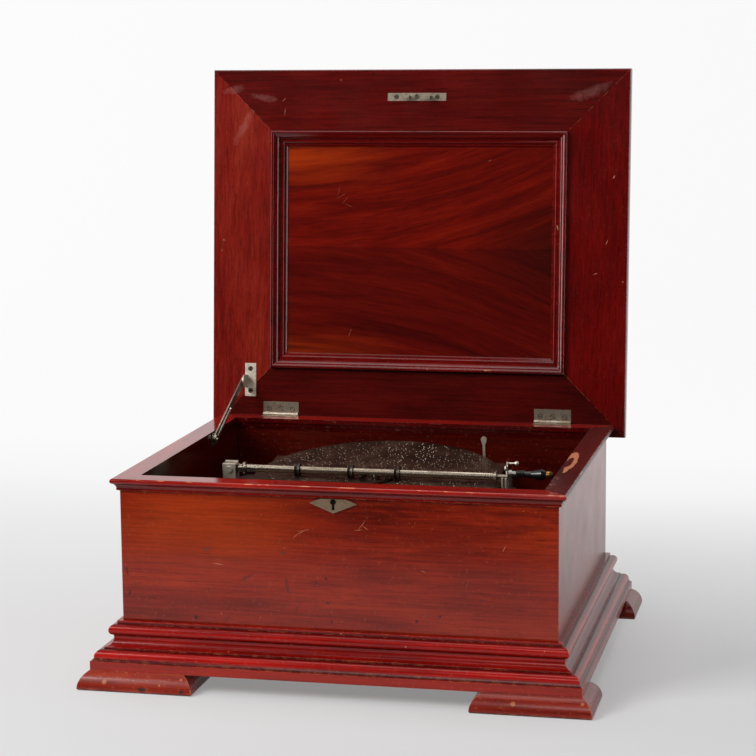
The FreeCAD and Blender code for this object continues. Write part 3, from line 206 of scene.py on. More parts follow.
def wood(name, along, tones, seed=1.0, wear=0.5, grime_and_shade=0.8, gloss=0.15, edge=0.0012, nicks=1.0, marks=None,
         shade_inside=False, hollow=0.004, coat=0.12):
    """Varnished wood, its grain drawn out along one axis. tones run from the darkest streak to the lightest."""
    s = Shader(name)

    def drawn(cross, scale, detail, rough, distortion=0.0):
        stretch = [cross, cross, cross]
        stretch[along] = 1.0
        place = s.place(scale=tuple(stretch), shift=(seed * 1.7, seed * 2.3, seed * 0.9))
        return s.noise(place, scale, detail, rough, distortion)

    figure = drawn(5.0, 3.6, 3.0, 0.5, 0.9)
    streak = drawn(24.0, 6.0, 4.0, 0.6, 0.2)
    fibre = drawn(34.0, 11.0, 3.0, 0.65)
    pores = drawn(22.0, 48.0, 2.0, 0.5)
    blotch = s.noise(s.place(shift=(seed, 0, seed)), 6.0, 3.0, 0.55)
    field = s.math("MULTIPLY", figure, 0.34)
    field = s.math("ADD", field, s.math("MULTIPLY", streak, 0.20))
    field = s.math("ADD", field, s.math("MULTIPLY", fibre, 0.14))
    field = s.math("ADD", field, s.math("MULTIPLY", blotch, 0.32))
    colour = s.ramp(field, [(0.36, tones[0]), (0.45, tones[1]), (0.54, tones[2]), (0.66, tones[3])])
    colour = s.mix(0.45, colour, s.ramp(fibre, [(0.32, 0.42), (0.58, 1.0)]), "MULTIPLY")
    colour = s.mix(0.55, colour, s.ramp(pores, [(0.30, 0.2), (0.42, 1.0)]), "MULTIPLY")
    if marks:
        colour = marks(s, colour)
    # Painted shade: the wood's faces inside the case are darkened.
    if shade_inside:
        shaded_within = inside_shade_mask(s)
        colour = s.mix(shaded_within, colour, s.mix(1.0, colour, (0.22, 0.16, 0.34, 1.0), "MULTIPLY"))
    spots = s.cells(s.place(shift=(seed, seed, 0)), 17.0)
    spot_size = s.noise(s.place(), 7.0, 1.0)
    dark = s.math("LESS_THAN", spots, s.math("MULTIPLY", spot_size, 0.06))
    colour = s.mix(s.math("MULTIPLY", dark, 0.7), colour, linear(36, 16, 12))
    pale = s.math("LESS_THAN", s.cells(s.place(shift=(0, seed, seed)), 44.0), 0.03 * nicks)
    colour = s.mix(s.math("MULTIPLY", pale, 0.6), colour, linear(196, 120, 78))
    dust = s.ramp(s.noise(s.place(), 260.0, 3.0, 0.7), [(0.60, 0.0), (0.70, 1.0)])
    colour = s.mix(s.math("MULTIPLY", dust, 0.08 * nicks), colour, linear(206, 140, 104))
    # Darker in corners and hollows by ambient occlusion: dirt and painted shade.
    dirt_and_shade = s.ramp(s.crevice(hollow), [(0.30, 0.0), (0.80, 1.0)])
    colour = s.mix(s.math("MULTIPLY", dirt_and_shade, grime_and_shade), colour, linear(22, 6, 5))
    worn = s.worn_edge(edge, 95.0, 0.48, 0.60)
    if shade_inside:
        worn = s.math("MULTIPLY", worn, s.math("SUBTRACT", 1.0, shaded_within))
    colour = s.mix(s.math("MULTIPLY", worn, wear), colour, linear(212, 118, 74))
    rough = s.math("ADD", gloss, s.math("MULTIPLY", s.noise(s.place(), 23.0, 4.0), 0.12))
    rough = s.math("ADD", rough, s.math("MULTIPLY", worn, 0.3))
    height = s.math("ADD", s.math("MULTIPLY", pores, 0.6), s.math("MULTIPLY", fibre, 0.4))
    ripple = s.bump(s.noise(s.place(), 14.0, 2.0), 0.10, 0.002)
    s.set(Base_Color=colour, Roughness=rough, Normal=s.bump(height, 0.12, 0.0005, ripple))
    s.set(Coat_Weight=coat, Coat_Roughness=0.07)
    s.put(s.surface.inputs["Specular IOR Level"], 0.34)
    return s.material


def flamed_panel():
    """Crotch veneer in two leaves, joined along a level line, feathering out from the right."""
    s = Shader("panel_veneer")
    leaf_joint = 0.2185
    split_z = lid_hinge.z + leaf_joint
    position = s.split(s.place())
    x_part = position[0]
    z_part = s.math("SUBTRACT", position[2], split_z)
    mirrored = s.math("ABSOLUTE", z_part)
    bend = s.math("MULTIPLY", s.math("ADD", 0.19, x_part), 0.62)
    bend = s.math("MULTIPLY", bend, s.math("ADD", 0.19, x_part))
    sweep = s.math("SUBTRACT", mirrored, bend)
    joined = s.add("ShaderNodeCombineXYZ")
    s.put(joined.inputs[0], x_part)
    s.put(joined.inputs[1], s.math("MULTIPLY", sweep, 13.0))
    s.put(joined.inputs[2], s.math("MULTIPLY", z_part, 0.6))
    field = s.noise(joined.outputs[0], 4.6, 5.0, 0.58, 0.55)
    fine = s.noise(joined.outputs[0], 34.0, 4.0, 0.62, 0.3)
    value = s.math("ADD", s.math("MULTIPLY", field, 0.68), s.math("MULTIPLY", fine, 0.32))
    upper = [(0.33, linear(68, 6, 3)), (0.45, linear(94, 9, 3)), (0.56, linear(114, 15, 4)), (0.72, linear(134, 29, 6))]
    lower = [(0.33, linear(62, 5, 3)), (0.46, linear(84, 8, 4)), (0.58, linear(100, 13, 5)), (0.74, linear(120, 24, 7))]
    above = s.math("GREATER_THAN", z_part, 0.0)
    colour = s.mix(above, s.ramp(value, lower), s.ramp(value, upper))
    corner_x = s.math("MULTIPLY", s.math("SUBTRACT", -0.02, x_part), 6.5, clamp=True)
    near_edge = s.math("SUBTRACT", mirrored, s.math("SUBTRACT", 0.104, s.math("MULTIPLY", above, 0.034)))
    corner_z = s.math("MULTIPLY", near_edge, 22.0, clamp=True)
    tint = s.math("MULTIPLY", corner_x, corner_z)
    tint = s.math("MULTIPLY", tint, s.ramp(field, [(0.36, 0.2), (0.6, 1.0)]))
    colour = s.mix(s.math("MULTIPLY", tint, 0.7), colour, linear(184, 62, 9))
    shadow_x = s.math("MULTIPLY", s.math("SUBTRACT", x_part, 0.06), 9.0, clamp=True)
    shadow_z = s.math("SUBTRACT", 1.0, s.math("MULTIPLY", mirrored, 13.0), clamp=True)
    dark = s.math("MULTIPLY", shadow_x, shadow_z)
    colour = s.mix(s.math("MULTIPLY", dark, 0.75), colour, linear(30, 8, 6))
    pores = s.noise(s.place(scale=(1.0, 22.0, 22.0)), 90.0, 2.0)
    colour = s.mix(0.35, colour, s.ramp(pores, [(0.30, 0.4), (0.42, 1.0)]), "MULTIPLY")
    scuffs = s.noise(s.place(scale=(3.0, 1.0, 1.0), turn=(0, 0.9, 0)), 60.0, 6.0, 0.75)
    patch = s.ramp(s.noise(s.place(), 9.0, 2.0), [(0.60, 0.0), (0.68, 1.0)])
    scuff = s.math("MULTIPLY", s.ramp(scuffs, [(0.60, 0.0), (0.70, 1.0)]), patch)
    colour = s.mix(s.math("MULTIPLY", scuff, 0.35), colour, linear(190, 120, 90))
    # Darker in corners and hollows by ambient occlusion: dirt and painted shade.
    dirt_and_shade = s.ramp(s.crevice(0.006), [(0.35, 0.0), (0.95, 1.0)])
    colour = s.mix(s.math("MULTIPLY", dirt_and_shade, 0.8), colour, linear(20, 5, 4))
    rough = s.math("ADD", 0.17, s.math("MULTIPLY", scuff, 0.2))
    s.set(Base_Color=colour, Roughness=rough, Normal=s.bump(s.noise(s.place(), 16.0, 2.0), 0.10, 0.002))
    s.set(Coat_Weight=0.2, Coat_Roughness=0.07)
    return s.material


# Metals

def metal(name, light, dark, rough, tarnish=(0.42, 0.62), pits=0.3, coarse=60.0, shaded_underside=False):
    """Plated or bare metal, light where it is clean and dark where it has tarnished, with soiling and painted shade in
    its corners.
    """
    s = Shader(name)
    cloud = s.noise(s.place(), coarse, 6.0, 0.65)
    speck = s.noise(s.place(), coarse * 9, 3.0, 0.6)
    mask = s.ramp(s.math("ADD", s.math("MULTIPLY", cloud, 0.75), s.math("MULTIPLY", speck, 0.25)),
                  [(tarnish[0], 0.0), (tarnish[1], 1.0)])
    colour = s.mix(mask, light, dark)
    # Darker in corners by ambient occlusion: dirt and painted shade.
    dirt_and_shade = s.ramp(s.crevice(0.002), [(0.3, 0.0), (0.9, 1.0)])
    colour = s.mix(s.math("MULTIPLY", dirt_and_shade, 0.6), colour, linear(24, 19, 15))
    worn = s.worn_edge(0.0005, 160.0, 0.35, 0.6)
    colour = s.mix(s.math("MULTIPLY", worn, 0.5), colour, linear(226, 220, 206))
    # Painted shade: the bar's lower part, near the disc, is turned dark brown.
    if shaded_underside:
        height = s.add("ShaderNodeVectorMath", operation="DOT_PRODUCT")
        s.put(height.inputs[0], s.place())
        height.inputs[1].default_value = disc_axis
        near = s.math("LESS_THAN", height.outputs["Value"], disc_centre.dot(disc_axis) + 0.0027)
        colour = s.mix(near, colour, linear(66, 47, 38))
    s.set(Base_Color=colour, Metallic=1.0, Normal=s.bump(speck, pits, 0.0003))
    s.set(Roughness=s.math("ADD", rough, s.math("MULTIPLY", mask, 0.18)))
    return s.material


def disc_steel():
    """Rolled steel gone brown, with faint rings from years of turning under the rollers, and painted reflection
    lightening its near side.
    """
    s = Shader("disc_steel")
    offset = s.add("ShaderNodeVectorMath", operation="SUBTRACT")
    s.put(offset.inputs[0], s.place())
    offset.inputs[1].default_value = disc_centre
    reach = s.add("ShaderNodeVectorMath", operation="LENGTH")
    s.put(reach.inputs[0], offset.outputs[0])
    joined = s.add("ShaderNodeCombineXYZ")
    s.put(joined.inputs[0], reach.outputs["Value"])
    rings = s.noise(joined.outputs[0], 420.0, 3.0, 0.6)
    cloud = s.noise(s.place(), 26.0, 6.0, 0.68)
    speck = s.noise(s.place(), 420.0, 3.0, 0.6)
    colour = s.ramp(cloud, [(0.34, linear(62, 42, 32)), (0.52, linear(92, 68, 54)), (0.68, linear(122, 98, 80))])
    colour = s.mix(0.35, colour, s.ramp(rings, [(0.35, 0.55), (0.62, 1.0)]), "MULTIPLY")
    colour = s.mix(0.4, colour, s.ramp(speck, [(0.34, 0.35), (0.5, 1.0)]), "MULTIPLY")
    rise = s.add("ShaderNodeVectorMath", operation="DOT_PRODUCT")
    s.put(rise.inputs[0], offset.outputs[0])
    rise.inputs[1].default_value = disc_up
    # Painted reflection: lighter patches on the disc's near side, in front of the bar.
    front = s.math("MULTIPLY", s.math("SUBTRACT", 0.0, rise.outputs["Value"]), 16.0, clamp=True)
    rubbed = s.ramp(s.noise(s.place(scale=(1.0, 1.5, 1.0)), 20.0, 5.0, 0.7), [(0.40, 0.0), (0.66, 1.0)])
    colour = s.mix(s.math("MULTIPLY", s.math("MULTIPLY", front, rubbed), 0.5), colour, linear(196, 184, 166))
    s.set(Base_Color=colour, Metallic=0.85, Normal=s.bump(s.math("ADD", rings, cloud), 0.15, 0.0004))
    s.set(Roughness=s.math("ADD", 0.30, s.math("MULTIPLY", cloud, 0.25)))
    return s.material


def ebonised():
    """Black polished wood, worn through to brown on its edges."""
    s = Shader("ebonised_wood")
    streak = s.noise(s.place(scale=(1.0, 16.0, 16.0)), 60.0, 4.0)
    colour = s.ramp(streak, [(0.35, linear(9, 7, 6)), (0.7, linear(26, 20, 17))])
    worn = s.worn_edge(0.0006, 200.0, 0.4, 0.65)
    colour = s.mix(s.math("MULTIPLY", worn, 0.5), colour, linear(92, 70, 54))
    s.set(Base_Color=colour, Roughness=s.math("ADD", 0.22, s.math("MULTIPLY", streak, 0.2)), Coat_Weight=0.3)
    return s.material


def black_japan():
    """A black enamelled casting."""
    s = Shader("black_casting")
    grain = s.noise(s.place(), 300.0, 4.0, 0.6)
    colour = s.ramp(s.noise(s.place(), 30.0, 5.0), [(0.35, linear(16, 14, 13)), (0.7, linear(40, 35, 31))])
    s.set(Base_Color=colour, Roughness=s.math("ADD", 0.35, s.math("MULTIPLY", grain, 0.2)))
    s.set(Normal=s.bump(grain, 0.25, 0.0005))
    return s.material


# Marks that belong to one place

def axis_values(s):
    """The x, y and z of the object's own coordinates, which at rest are the frame's."""
    return s.split(s.place())


def patch(s, along, across, centre, size, angle=0.0, ragged=0.6, scale=120.0):
    """An oval mask with a ragged edge: 1 inside, 0 outside."""
    u = s.math("SUBTRACT", along, centre[0])
    v = s.math("SUBTRACT", across, centre[1])
    c, n = math.cos(angle), math.sin(angle)
    turned_u = s.math("ADD", s.math("MULTIPLY", u, c / size[0]), s.math("MULTIPLY", v, n / size[0]))
    turned_v = s.math("ADD", s.math("MULTIPLY", v, c / size[1]), s.math("MULTIPLY", u, -n / size[1]))
    reach = s.math("ADD", s.math("MULTIPLY", turned_u, turned_u), s.math("MULTIPLY", turned_v, turned_v))
    ruffle = s.math("SUBTRACT", s.noise(s.place(), scale, 5.0, 0.75), 0.5)
    reach = s.math("ADD", reach, s.math("MULTIPLY", ruffle, ragged * 4))
    return s.ramp(reach, [(0.0, 1.0), (1.0, 0.0)])


def inside_shade_mask(s):
    """1 inside the case, where the wood's faces are darkened as painted shade."""
    x, y, z = axis_values(s)
    return s.math("MULTIPLY", s.math("LESS_THAN", s.math("ABSOLUTE", x), inner_x + 0.0008),
                  s.math("LESS_THAN", s.math("ABSOLUTE", s.math("SUBTRACT", y, case_y)), inner_y + 0.0008))


def front_marks(s, colour):
    """Orange at the upper left and a dark veil of figure at the upper right."""
    x, y, z = axis_values(s)
    glow = patch(s, x, z, (-0.16, 0.185), (0.16, 0.060), 0.1, 0.3, 9.0)
    colour = s.mix(s.math("MULTIPLY", glow, 0.16), colour, linear(206, 92, 26))
    veil = s.noise(s.place(scale=(5.0, 1.0, 26.0), turn=(0, 0.26, 0)), 3.0, 4.0, 0.6, 0.6)
    upper = s.math("MULTIPLY", s.math("SUBTRACT", z, 0.12), 11.0, clamp=True)
    right = s.math("MULTIPLY", s.math("ADD", x, 0.12), 6.0, clamp=True)
    veil = s.math("MULTIPLY", s.ramp(veil, [(0.46, 0.0), (0.62, 1.0)]), s.math("MULTIPLY", upper, right))
    colour = s.mix(s.math("MULTIPLY", veil, 0.55), colour, linear(74, 14, 7))
    return colour


def by_height(s, colour, low, high, levels):
    """Darken or brighten by height along a moulding's profile: painted shade and soiling in its coves and under its
    steps. levels: (height in mm, factor).
    """
    z = axis_values(s)[2]
    wander = s.math("MULTIPLY", s.math("SUBTRACT", s.noise(s.place(), 50.0, 3.0), 0.5), 0.0008)
    at = s.math("DIVIDE", s.math("SUBTRACT", s.math("ADD", z, wander), low / 1000), (high - low) / 1000)
    stops = [((level - low) / (high - low), factor) for level, factor in levels]
    return s.mix(1.0, colour, s.ramp(at, stops), "MULTIPLY")


def base_marks(s, colour):
    """The plinth band is browner; painted shade and soiling lie under each step, and the cove stays dark with painted
    shade.
    """
    band = s.math("LESS_THAN", axis_values(s)[2], 0.0318)
    colour = s.mix(s.math("MULTIPLY", band, 0.4), colour, linear(152, 50, 30))
    return by_height(s, colour, 20.0, 76.0, [
        (20.9, 0.75), (24.0, 0.95), (30.6, 0.95), (31.6, 0.22), (33.6, 0.30), (35.0, 1.0), (41.0, 1.0), (43.0, 0.22),
        (44.6, 0.55), (48.0, 0.62), (52.6, 0.66), (53.6, 0.95), (55.8, 0.85), (57.4, 0.25), (60.0, 0.95), (67.0, 1.0),
        (70.2, 0.22), (72.4, 0.8), (73.6, 0.85)])


def rim_shade(s, colour):
    """Lighter on the nose, painted shade and soiling in the cove, and the front arris rubbed through to pale wood."""
    x, y, z = axis_values(s)
    colour = by_height(s, colour, 222.0, 240.0, [
        (223.0, 0.3), (224.4, 0.8), (226.0, 0.5), (230.0, 0.62), (232.2, 0.25), (233.4, 0.9), (236.0, 1.0),
        (238.4, 0.9)])
    arris = s.math("MULTIPLY", s.math("GREATER_THAN", z, 0.2373), s.math("LESS_THAN", z, 0.2381))
    dashes = s.noise(s.place(scale=(1.0, 1.0, 3.0)), 46.0, 5.0, 0.7)
    rubbed = s.math("MULTIPLY", arris, s.ramp(dashes, [(0.53, 0.0), (0.59, 1.0)]))
    return s.mix(s.math("MULTIPLY", rubbed, 0.7), colour, linear(216, 136, 92))


def rim_marks(s, colour):
    """A bare arc rubbed on the right rim, and lifted varnish in front of it, dark with pale specks painted as glints.
    """
    x, y, z = axis_values(s)
    colour = rim_shade(s, colour)
    arc_x, arc_y, arc_radius, arc_squeeze = 0.2362, -0.048, 0.0062, 0.135
    dx = s.math("SUBTRACT", x, arc_x)
    dy = s.math("MULTIPLY", s.math("SUBTRACT", y, arc_y), arc_squeeze)
    reach = s.math("SQRT", s.math("ADD", s.math("MULTIPLY", dx, dx), s.math("MULTIPLY", dy, dy)))
    ring = s.math("ABSOLUTE", s.math("SUBTRACT", reach, arc_radius))
    bare = s.math("LESS_THAN", ring, s.math("MULTIPLY", s.noise(s.place(), 90.0, 4.0), 0.0042))
    open_side = s.math("GREATER_THAN", s.math("ADD", dx, s.math("MULTIPLY", dy, 0.5)), -0.003)
    colour = s.mix(s.math("MULTIPLY", s.math("MULTIPLY", bare, open_side), 0.9), colour, linear(206, 132, 96))
    blister = patch(s, x, y, (0.2325, -0.165), (0.010, 0.045), 0.0, 0.3, 60.0)
    # The blister's pale specks are painted glints on its bubbles.
    speck = s.ramp(s.noise(s.place(), 380.0, 3.0), [(0.55, 0.0), (0.64, 1.0)])
    colour = s.mix(s.math("MULTIPLY", blister, 0.85), colour, s.mix(speck, linear(46, 6, 8), linear(190, 110, 100)))
    return colour


def lid_marks(s, colour):
    """Pale rubs at the lid's corners."""
    x, y, z = axis_values(s)
    for centre, size, angle in (((-0.244, 0.660), (0.016, 0.006), 0.2), ((-0.204, 0.650), (0.018, 0.005), -0.2),
                                ((-0.232, 0.612), (0.006, 0.030), -0.5), ((0.220, 0.656), (0.030, 0.008), 0.35)):
        rub = patch(s, x, z, centre, size, angle, 0.8, 110.0)
        colour = s.mix(s.math("MULTIPLY", rub, 0.13), colour, linear(206, 140, 132))
    return colour


def tones(*colours):
    """A wood's four tones, from the darkest streak to the lightest."""
    return [linear(*colour) for colour in colours]


wall_tones = tones((108, 19, 6), (136, 31, 10), (153, 40, 13), (172, 58, 19))
rim_tones = tones((106, 10, 6), (142, 18, 11), (162, 26, 15), (182, 40, 24))
right_rim_tones = tones((60, 6, 4), (80, 11, 7), (94, 15, 9), (108, 24, 14))
red_tones = tones((104, 6, 3), (148, 12, 5), (174, 16, 8), (196, 32, 13))
bead_tones = tones((62, 6, 5), (88, 8, 6), (106, 11, 9), (128, 24, 17))
foot_tones = tones((94, 13, 5), (124, 24, 9), (144, 35, 15), (170, 66, 36))
rail_tones = tones((54, 5, 4), (78, 8, 5), (94, 11, 7), (112, 20, 12))
low_rail_tones = tones((46, 5, 4), (66, 7, 5), (80, 9, 6), (94, 16, 10))
left_tones = tones((84, 10, 7), (112, 18, 12), (130, 28, 18), (146, 44, 28))
right_tones = tones((72, 4, 3), (94, 6, 4), (108, 8, 6), (122, 16, 10))
inside_tones = tones((40, 16, 9), (62, 28, 15), (84, 42, 24), (110, 62, 36))

skins = {
    "front": wood("front_wall_wood", 0, wall_tones, 1.0, wear=0.3, marks=front_marks, shade_inside=True),
    "wall_x": wood("wall_wood_x", 0, wall_tones, 11.0, wear=0.3, shade_inside=True),
    "wall_y": wood("wall_wood_y", 1, wall_tones, 2.0, wear=0.3, shade_inside=True, coat=0.0),
    "rim_x": wood("rim_wood_x", 0, rim_tones, 3.0, wear=0.8, nicks=1.4, gloss=0.05, shade_inside=True, marks=rim_shade),
    "rim_y": wood("rim_wood_y", 1, rim_tones, 4.0, wear=0.7, nicks=1.4, gloss=0.05, shade_inside=True, marks=rim_shade),
    "rim_right": wood("rim_wood_right", 1, right_rim_tones, 5.0, wear=0.7, gloss=0.2, coat=0.0, marks=rim_marks,
                      shade_inside=True),
    "base_x": wood("base_wood_x", 0, red_tones, 12.0, wear=0.75, nicks=1.6, grime_and_shade=0.95, marks=base_marks,
                   hollow=0.007, coat=0.04),
    "base_y": wood("base_wood_y", 1, red_tones, 13.0, wear=0.75, nicks=1.6, grime_and_shade=0.95, marks=base_marks,
                   hollow=0.007, coat=0.04),
    "foot": wood("foot_wood", 0, foot_tones, 6.0, wear=0.9, gloss=0.22, nicks=4.0, edge=0.003),
    "rail": wood("lid_rail_wood", 0, rail_tones, 7.0, wear=0.25, gloss=0.14, nicks=0.2, marks=lid_marks),
    "low_rail": wood("lid_low_rail_wood", 0, low_rail_tones, 7.5, wear=0.25, gloss=0.14, nicks=0.2),
    "left_stile": wood("lid_left_stile_wood", 2, left_tones, 8.0, wear=0.3, gloss=0.14, nicks=0.4, marks=lid_marks),
    "right_stile": wood("lid_right_stile_wood", 2, right_tones, 8.7, wear=0.3, gloss=0.14, nicks=0.4),
    "bead": wood("lid_moulding_wood", 0, bead_tones, 9.0, wear=0.3, gloss=0.04, edge=0.0007, grime_and_shade=0.95,
                 nicks=0.4, coat=0.25),
    "panel": flamed_panel(),
    "deal": wood("inner_board_wood", 0, inside_tones, 10.0, wear=0.1, gloss=0.5),
    "nickel": metal("aged_nickel", linear(206, 198, 182), linear(140, 128, 110), 0.28),
    "plate": metal("plate_nickel", linear(194, 180, 162), linear(124, 106, 86), 0.34, coarse=90.0),
    "satin": metal("satin_nickel", linear(232, 224, 208), linear(186, 174, 154), 0.52, coarse=90.0),
    "dull_nickel": metal("dull_nickel", linear(198, 168, 138), linear(138, 108, 82), 0.36),
    "bar": metal("pressure_bar_nickel", linear(168, 156, 140), linear(118, 104, 88), 0.25, pits=0.1, coarse=16.0,
                 shaded_underside=True),
    "dark_steel": metal("dark_steel", linear(92, 82, 74), linear(48, 41, 35), 0.34),
    "screw": metal("screw_steel", linear(140, 130, 116), linear(70, 60, 50), 0.3, coarse=200.0),
    "steel": metal("plain_steel", linear(168, 164, 156), linear(110, 102, 92), 0.3),
    "brass": metal("aged_brass", linear(158, 118, 62), linear(92, 64, 32), 0.32),
    "disc": disc_steel(),
    "grip": ebonised(),
    "casting": black_japan(),
}

skin_of = {
    "front": ["front_wall"],
    "wall_x": ["back_wall"],
    "wall_y": ["left_wall", "right_wall"],
    "rim_x": ["rim_front", "rim_back"],
    "rim_y": ["rim_left"],
    "rim_right": ["rim_right"],
    "base_x": ["base_front", "base_back"],
    "base_y": ["base_left", "base_right"],
    "foot": ["foot_front_left", "foot_front_right", "foot_rear_left", "foot_rear_right"],
    "rail": ["lid_front_rail"],
    "low_rail": ["lid_rear_rail"],
    "left_stile": ["lid_left_stile"],
    "right_stile": ["lid_right_stile"],
    "bead": ["lid_moulding"],
    "panel": ["lid_panel"],
    "deal": ["bottom_board", "bearer_left", "bearer_right"],
    "nickel": ["stay_arm", "stay_stud"],
    "satin": ["bar_post_left", "bar_post_right", "bar_latch", "start_lever", "stay_bracket"],
    "plate": ["strike_plate", "lid_hinge_left", "lid_hinge_right", "case_hinge_left",
              "case_hinge_right"],
    "screw": ["lid_screws", "case_screws"],
    "dull_nickel": ["escutcheon"],
    "bar": ["pressure_bar"],
    "dark_steel": ["roller_left", "roller_middle", "roller_right", "lock_case", "lock_bolt"],
    "steel": ["comb", "governor", "start_pin", "disc_arbor", "barrel_arbor", "winding_shaft"],
    "brass": ["crank_cap", "spring_barrel", "train_wheel", "star_wheels"],
    "disc": ["disc"],
    "grip": ["crank_grip"],
    "casting": ["bedplate", "lower_plate"],
}
soft_edges = {"front": 0.0006, "wall_x": 0.0006, "wall_y": 0.0006, "rim_x": 0.0005, "rim_y": 0.0005,
              "rim_right": 0.0005, "base_x": 0.0005, "base_y": 0.0005, "foot": 0.0008, "rail": 0.0005,
              "low_rail": 0.0005, "left_stile": 0.0005, "right_stile": 0.0005, "bead": 0.0003, "nickel": 0.00015,
              "plate": 0.00025, "dull_nickel": 0.0002}


def dress(name, skin):
    """Give a CAD node its material and, where the real edges are rubbed soft, a small bevel."""
    obj = nodes[name]
    obj.data.materials.clear()
    obj.data.materials.append(skins[skin])
    width = soft_edges.get(skin)
    if width:
        bevel = obj.modifiers.new("soft_edges", "BEVEL")
        bevel.width = width
        bevel.segments = 2
        bevel.limit_method = "ANGLE"
        bevel.angle_limit = math.radians(35)
        bevel.harden_normals = False


for skin, names in skin_of.items():
    for name in names:
        dress(name, skin)


# Pieces

def new_piece(name, bm, body, skin):
    """Make an object from a bmesh, riding on a body and filling a material slot."""
    mesh = bpy.data.meshes.new(name)
    bm.to_mesh(mesh)
    bm.free()
    piece = bpy.data.objects.new(name, mesh)
    bpy.context.scene.collection.objects.link(piece)
    mesh.materials.append(skins[skin])
    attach(piece, body)
    return piece


def add_block(bm, centre, along, across, up, size):
    """A small block with its upper edges drawn in."""
    half = [value / 2 for value in size]
    corners = []
    for level, inset in ((-1, 1.0), (1, 0.62)):
        for a, b in ((-1, -1), (1, -1), (1, 1), (-1, 1)):
            corners.append(bm.verts.new(centre + along * (a * half[0] * inset) + across * (b * half[1] * inset)
                                        + up * (level * half[2])))
    for face in ((3, 2, 1, 0), (4, 5, 6, 7), (0, 1, 5, 4), (1, 2, 6, 5), (2, 3, 7, 6), (3, 0, 4, 7)):
        bm.faces.new([corners[i] for i in face])


def disc_punchings():
    """Projections turned out of the sheet: each track has its own run of notes, thick and thin. Behind each lies a flat
    dark patch, painted shade for the hole it leaves.
    """
    first_track = 0.0305
    track_pitch = 0.00205
    tracks = 58
    least_gap = 0.004
    mean_gap = 0.018
    rest_share = 0.25
    rest_length = 0.03
    tab_size = (0.0013, 0.0008, 0.0004)
    tab_middle = 0.00022
    slot_size = (0.0020, 0.0010, 0.00004)
    slot_middle = 0.00002
    slot_behind = 0.0017
    rng = random.Random(12)
    bright = bmesh.new()
    dark = bmesh.new()
    for track in range(tracks):
        radius = first_track + track * track_pitch
        angle = rng.uniform(0, 2 * math.pi)
        end = angle + 2 * math.pi
        while angle < end:
            angle += (least_gap + rng.expovariate(1 / mean_gap)) / radius
            if rng.random() < rest_share:
                angle += rest_length / radius
            outward = disc_across * math.cos(angle) + disc_up * math.sin(angle)
            tangent = disc_axis.cross(outward)
            centre = disc_centre + outward * radius
            add_block(bright, centre + disc_axis * tab_middle, tangent, outward, disc_axis, tab_size)
            # A flat dark patch behind each projection: painted shade where its hole would show.
            slot_centre = centre + tangent * slot_behind + disc_axis * slot_middle
            add_block(dark, slot_centre, tangent, outward, disc_axis, slot_size)
    new_piece("disc_projections", bright, "disc_drive", "tab")
    new_piece("disc_slot_shadows", dark, "disc_drive", "slot_shadow")


def hold_pegs():
    """Bright sleeves round the two pins that hold the ring on the disc."""
    pin_reach = 0.018
    ring_top = 0.0023
    sides = 16
    profile = ((0.0021, 0.0), (0.0021, 0.0046), (0.0017, 0.0052))
    around = []
    for i in range(sides):
        a = 2 * math.pi * i / sides
        around.append(disc_across * math.cos(a) + disc_up * math.sin(a))
    bm = bmesh.new()
    for side in (-1, 1):
        foot = disc_centre + disc_across * (side * pin_reach) + disc_axis * ring_top
        rings = []
        for radius, height in profile:
            middle = foot + disc_axis * height
            rings.append([bm.verts.new(middle + way * radius) for way in around])
        for low, high in zip(rings, rings[1:]):
            for i in range(sides):
                after = (i + 1) % sides
                bm.faces.new((low[i], low[after], high[after], high[i])).smooth = True
        bm.faces.new(rings[-1])
        bm.faces.new(list(reversed(rings[0])))
    new_piece("hold_pegs", bm, hold_body, "satin")


def slot_shadow():
    """The dark seen through a slot or a keyhole."""
    s = Shader("slot_shadow")
    colour = s.ramp(s.noise(s.place(), 300.0), [(0.4, linear(10, 7, 6)), (0.7, linear(24, 18, 14))])
    s.set(Base_Color=colour, Roughness=0.8)
    s.put(s.surface.inputs["Specular IOR Level"], 0.05)
    return s.material


skins["slot_shadow"] = slot_shadow()
skins["tab"] = metal("tab_steel", linear(196, 176, 154), linear(124, 100, 82), 0.55, coarse=150.0)
disc_punchings()
hold_pegs()


def open_point(x, back, down):
    """A point on the lid's inner face: so far from the hinge line along the face, and below it when closed."""
    return Vector((x, lid_hinge.y, lid_hinge.z)) + lid_up * back + lid_out * down


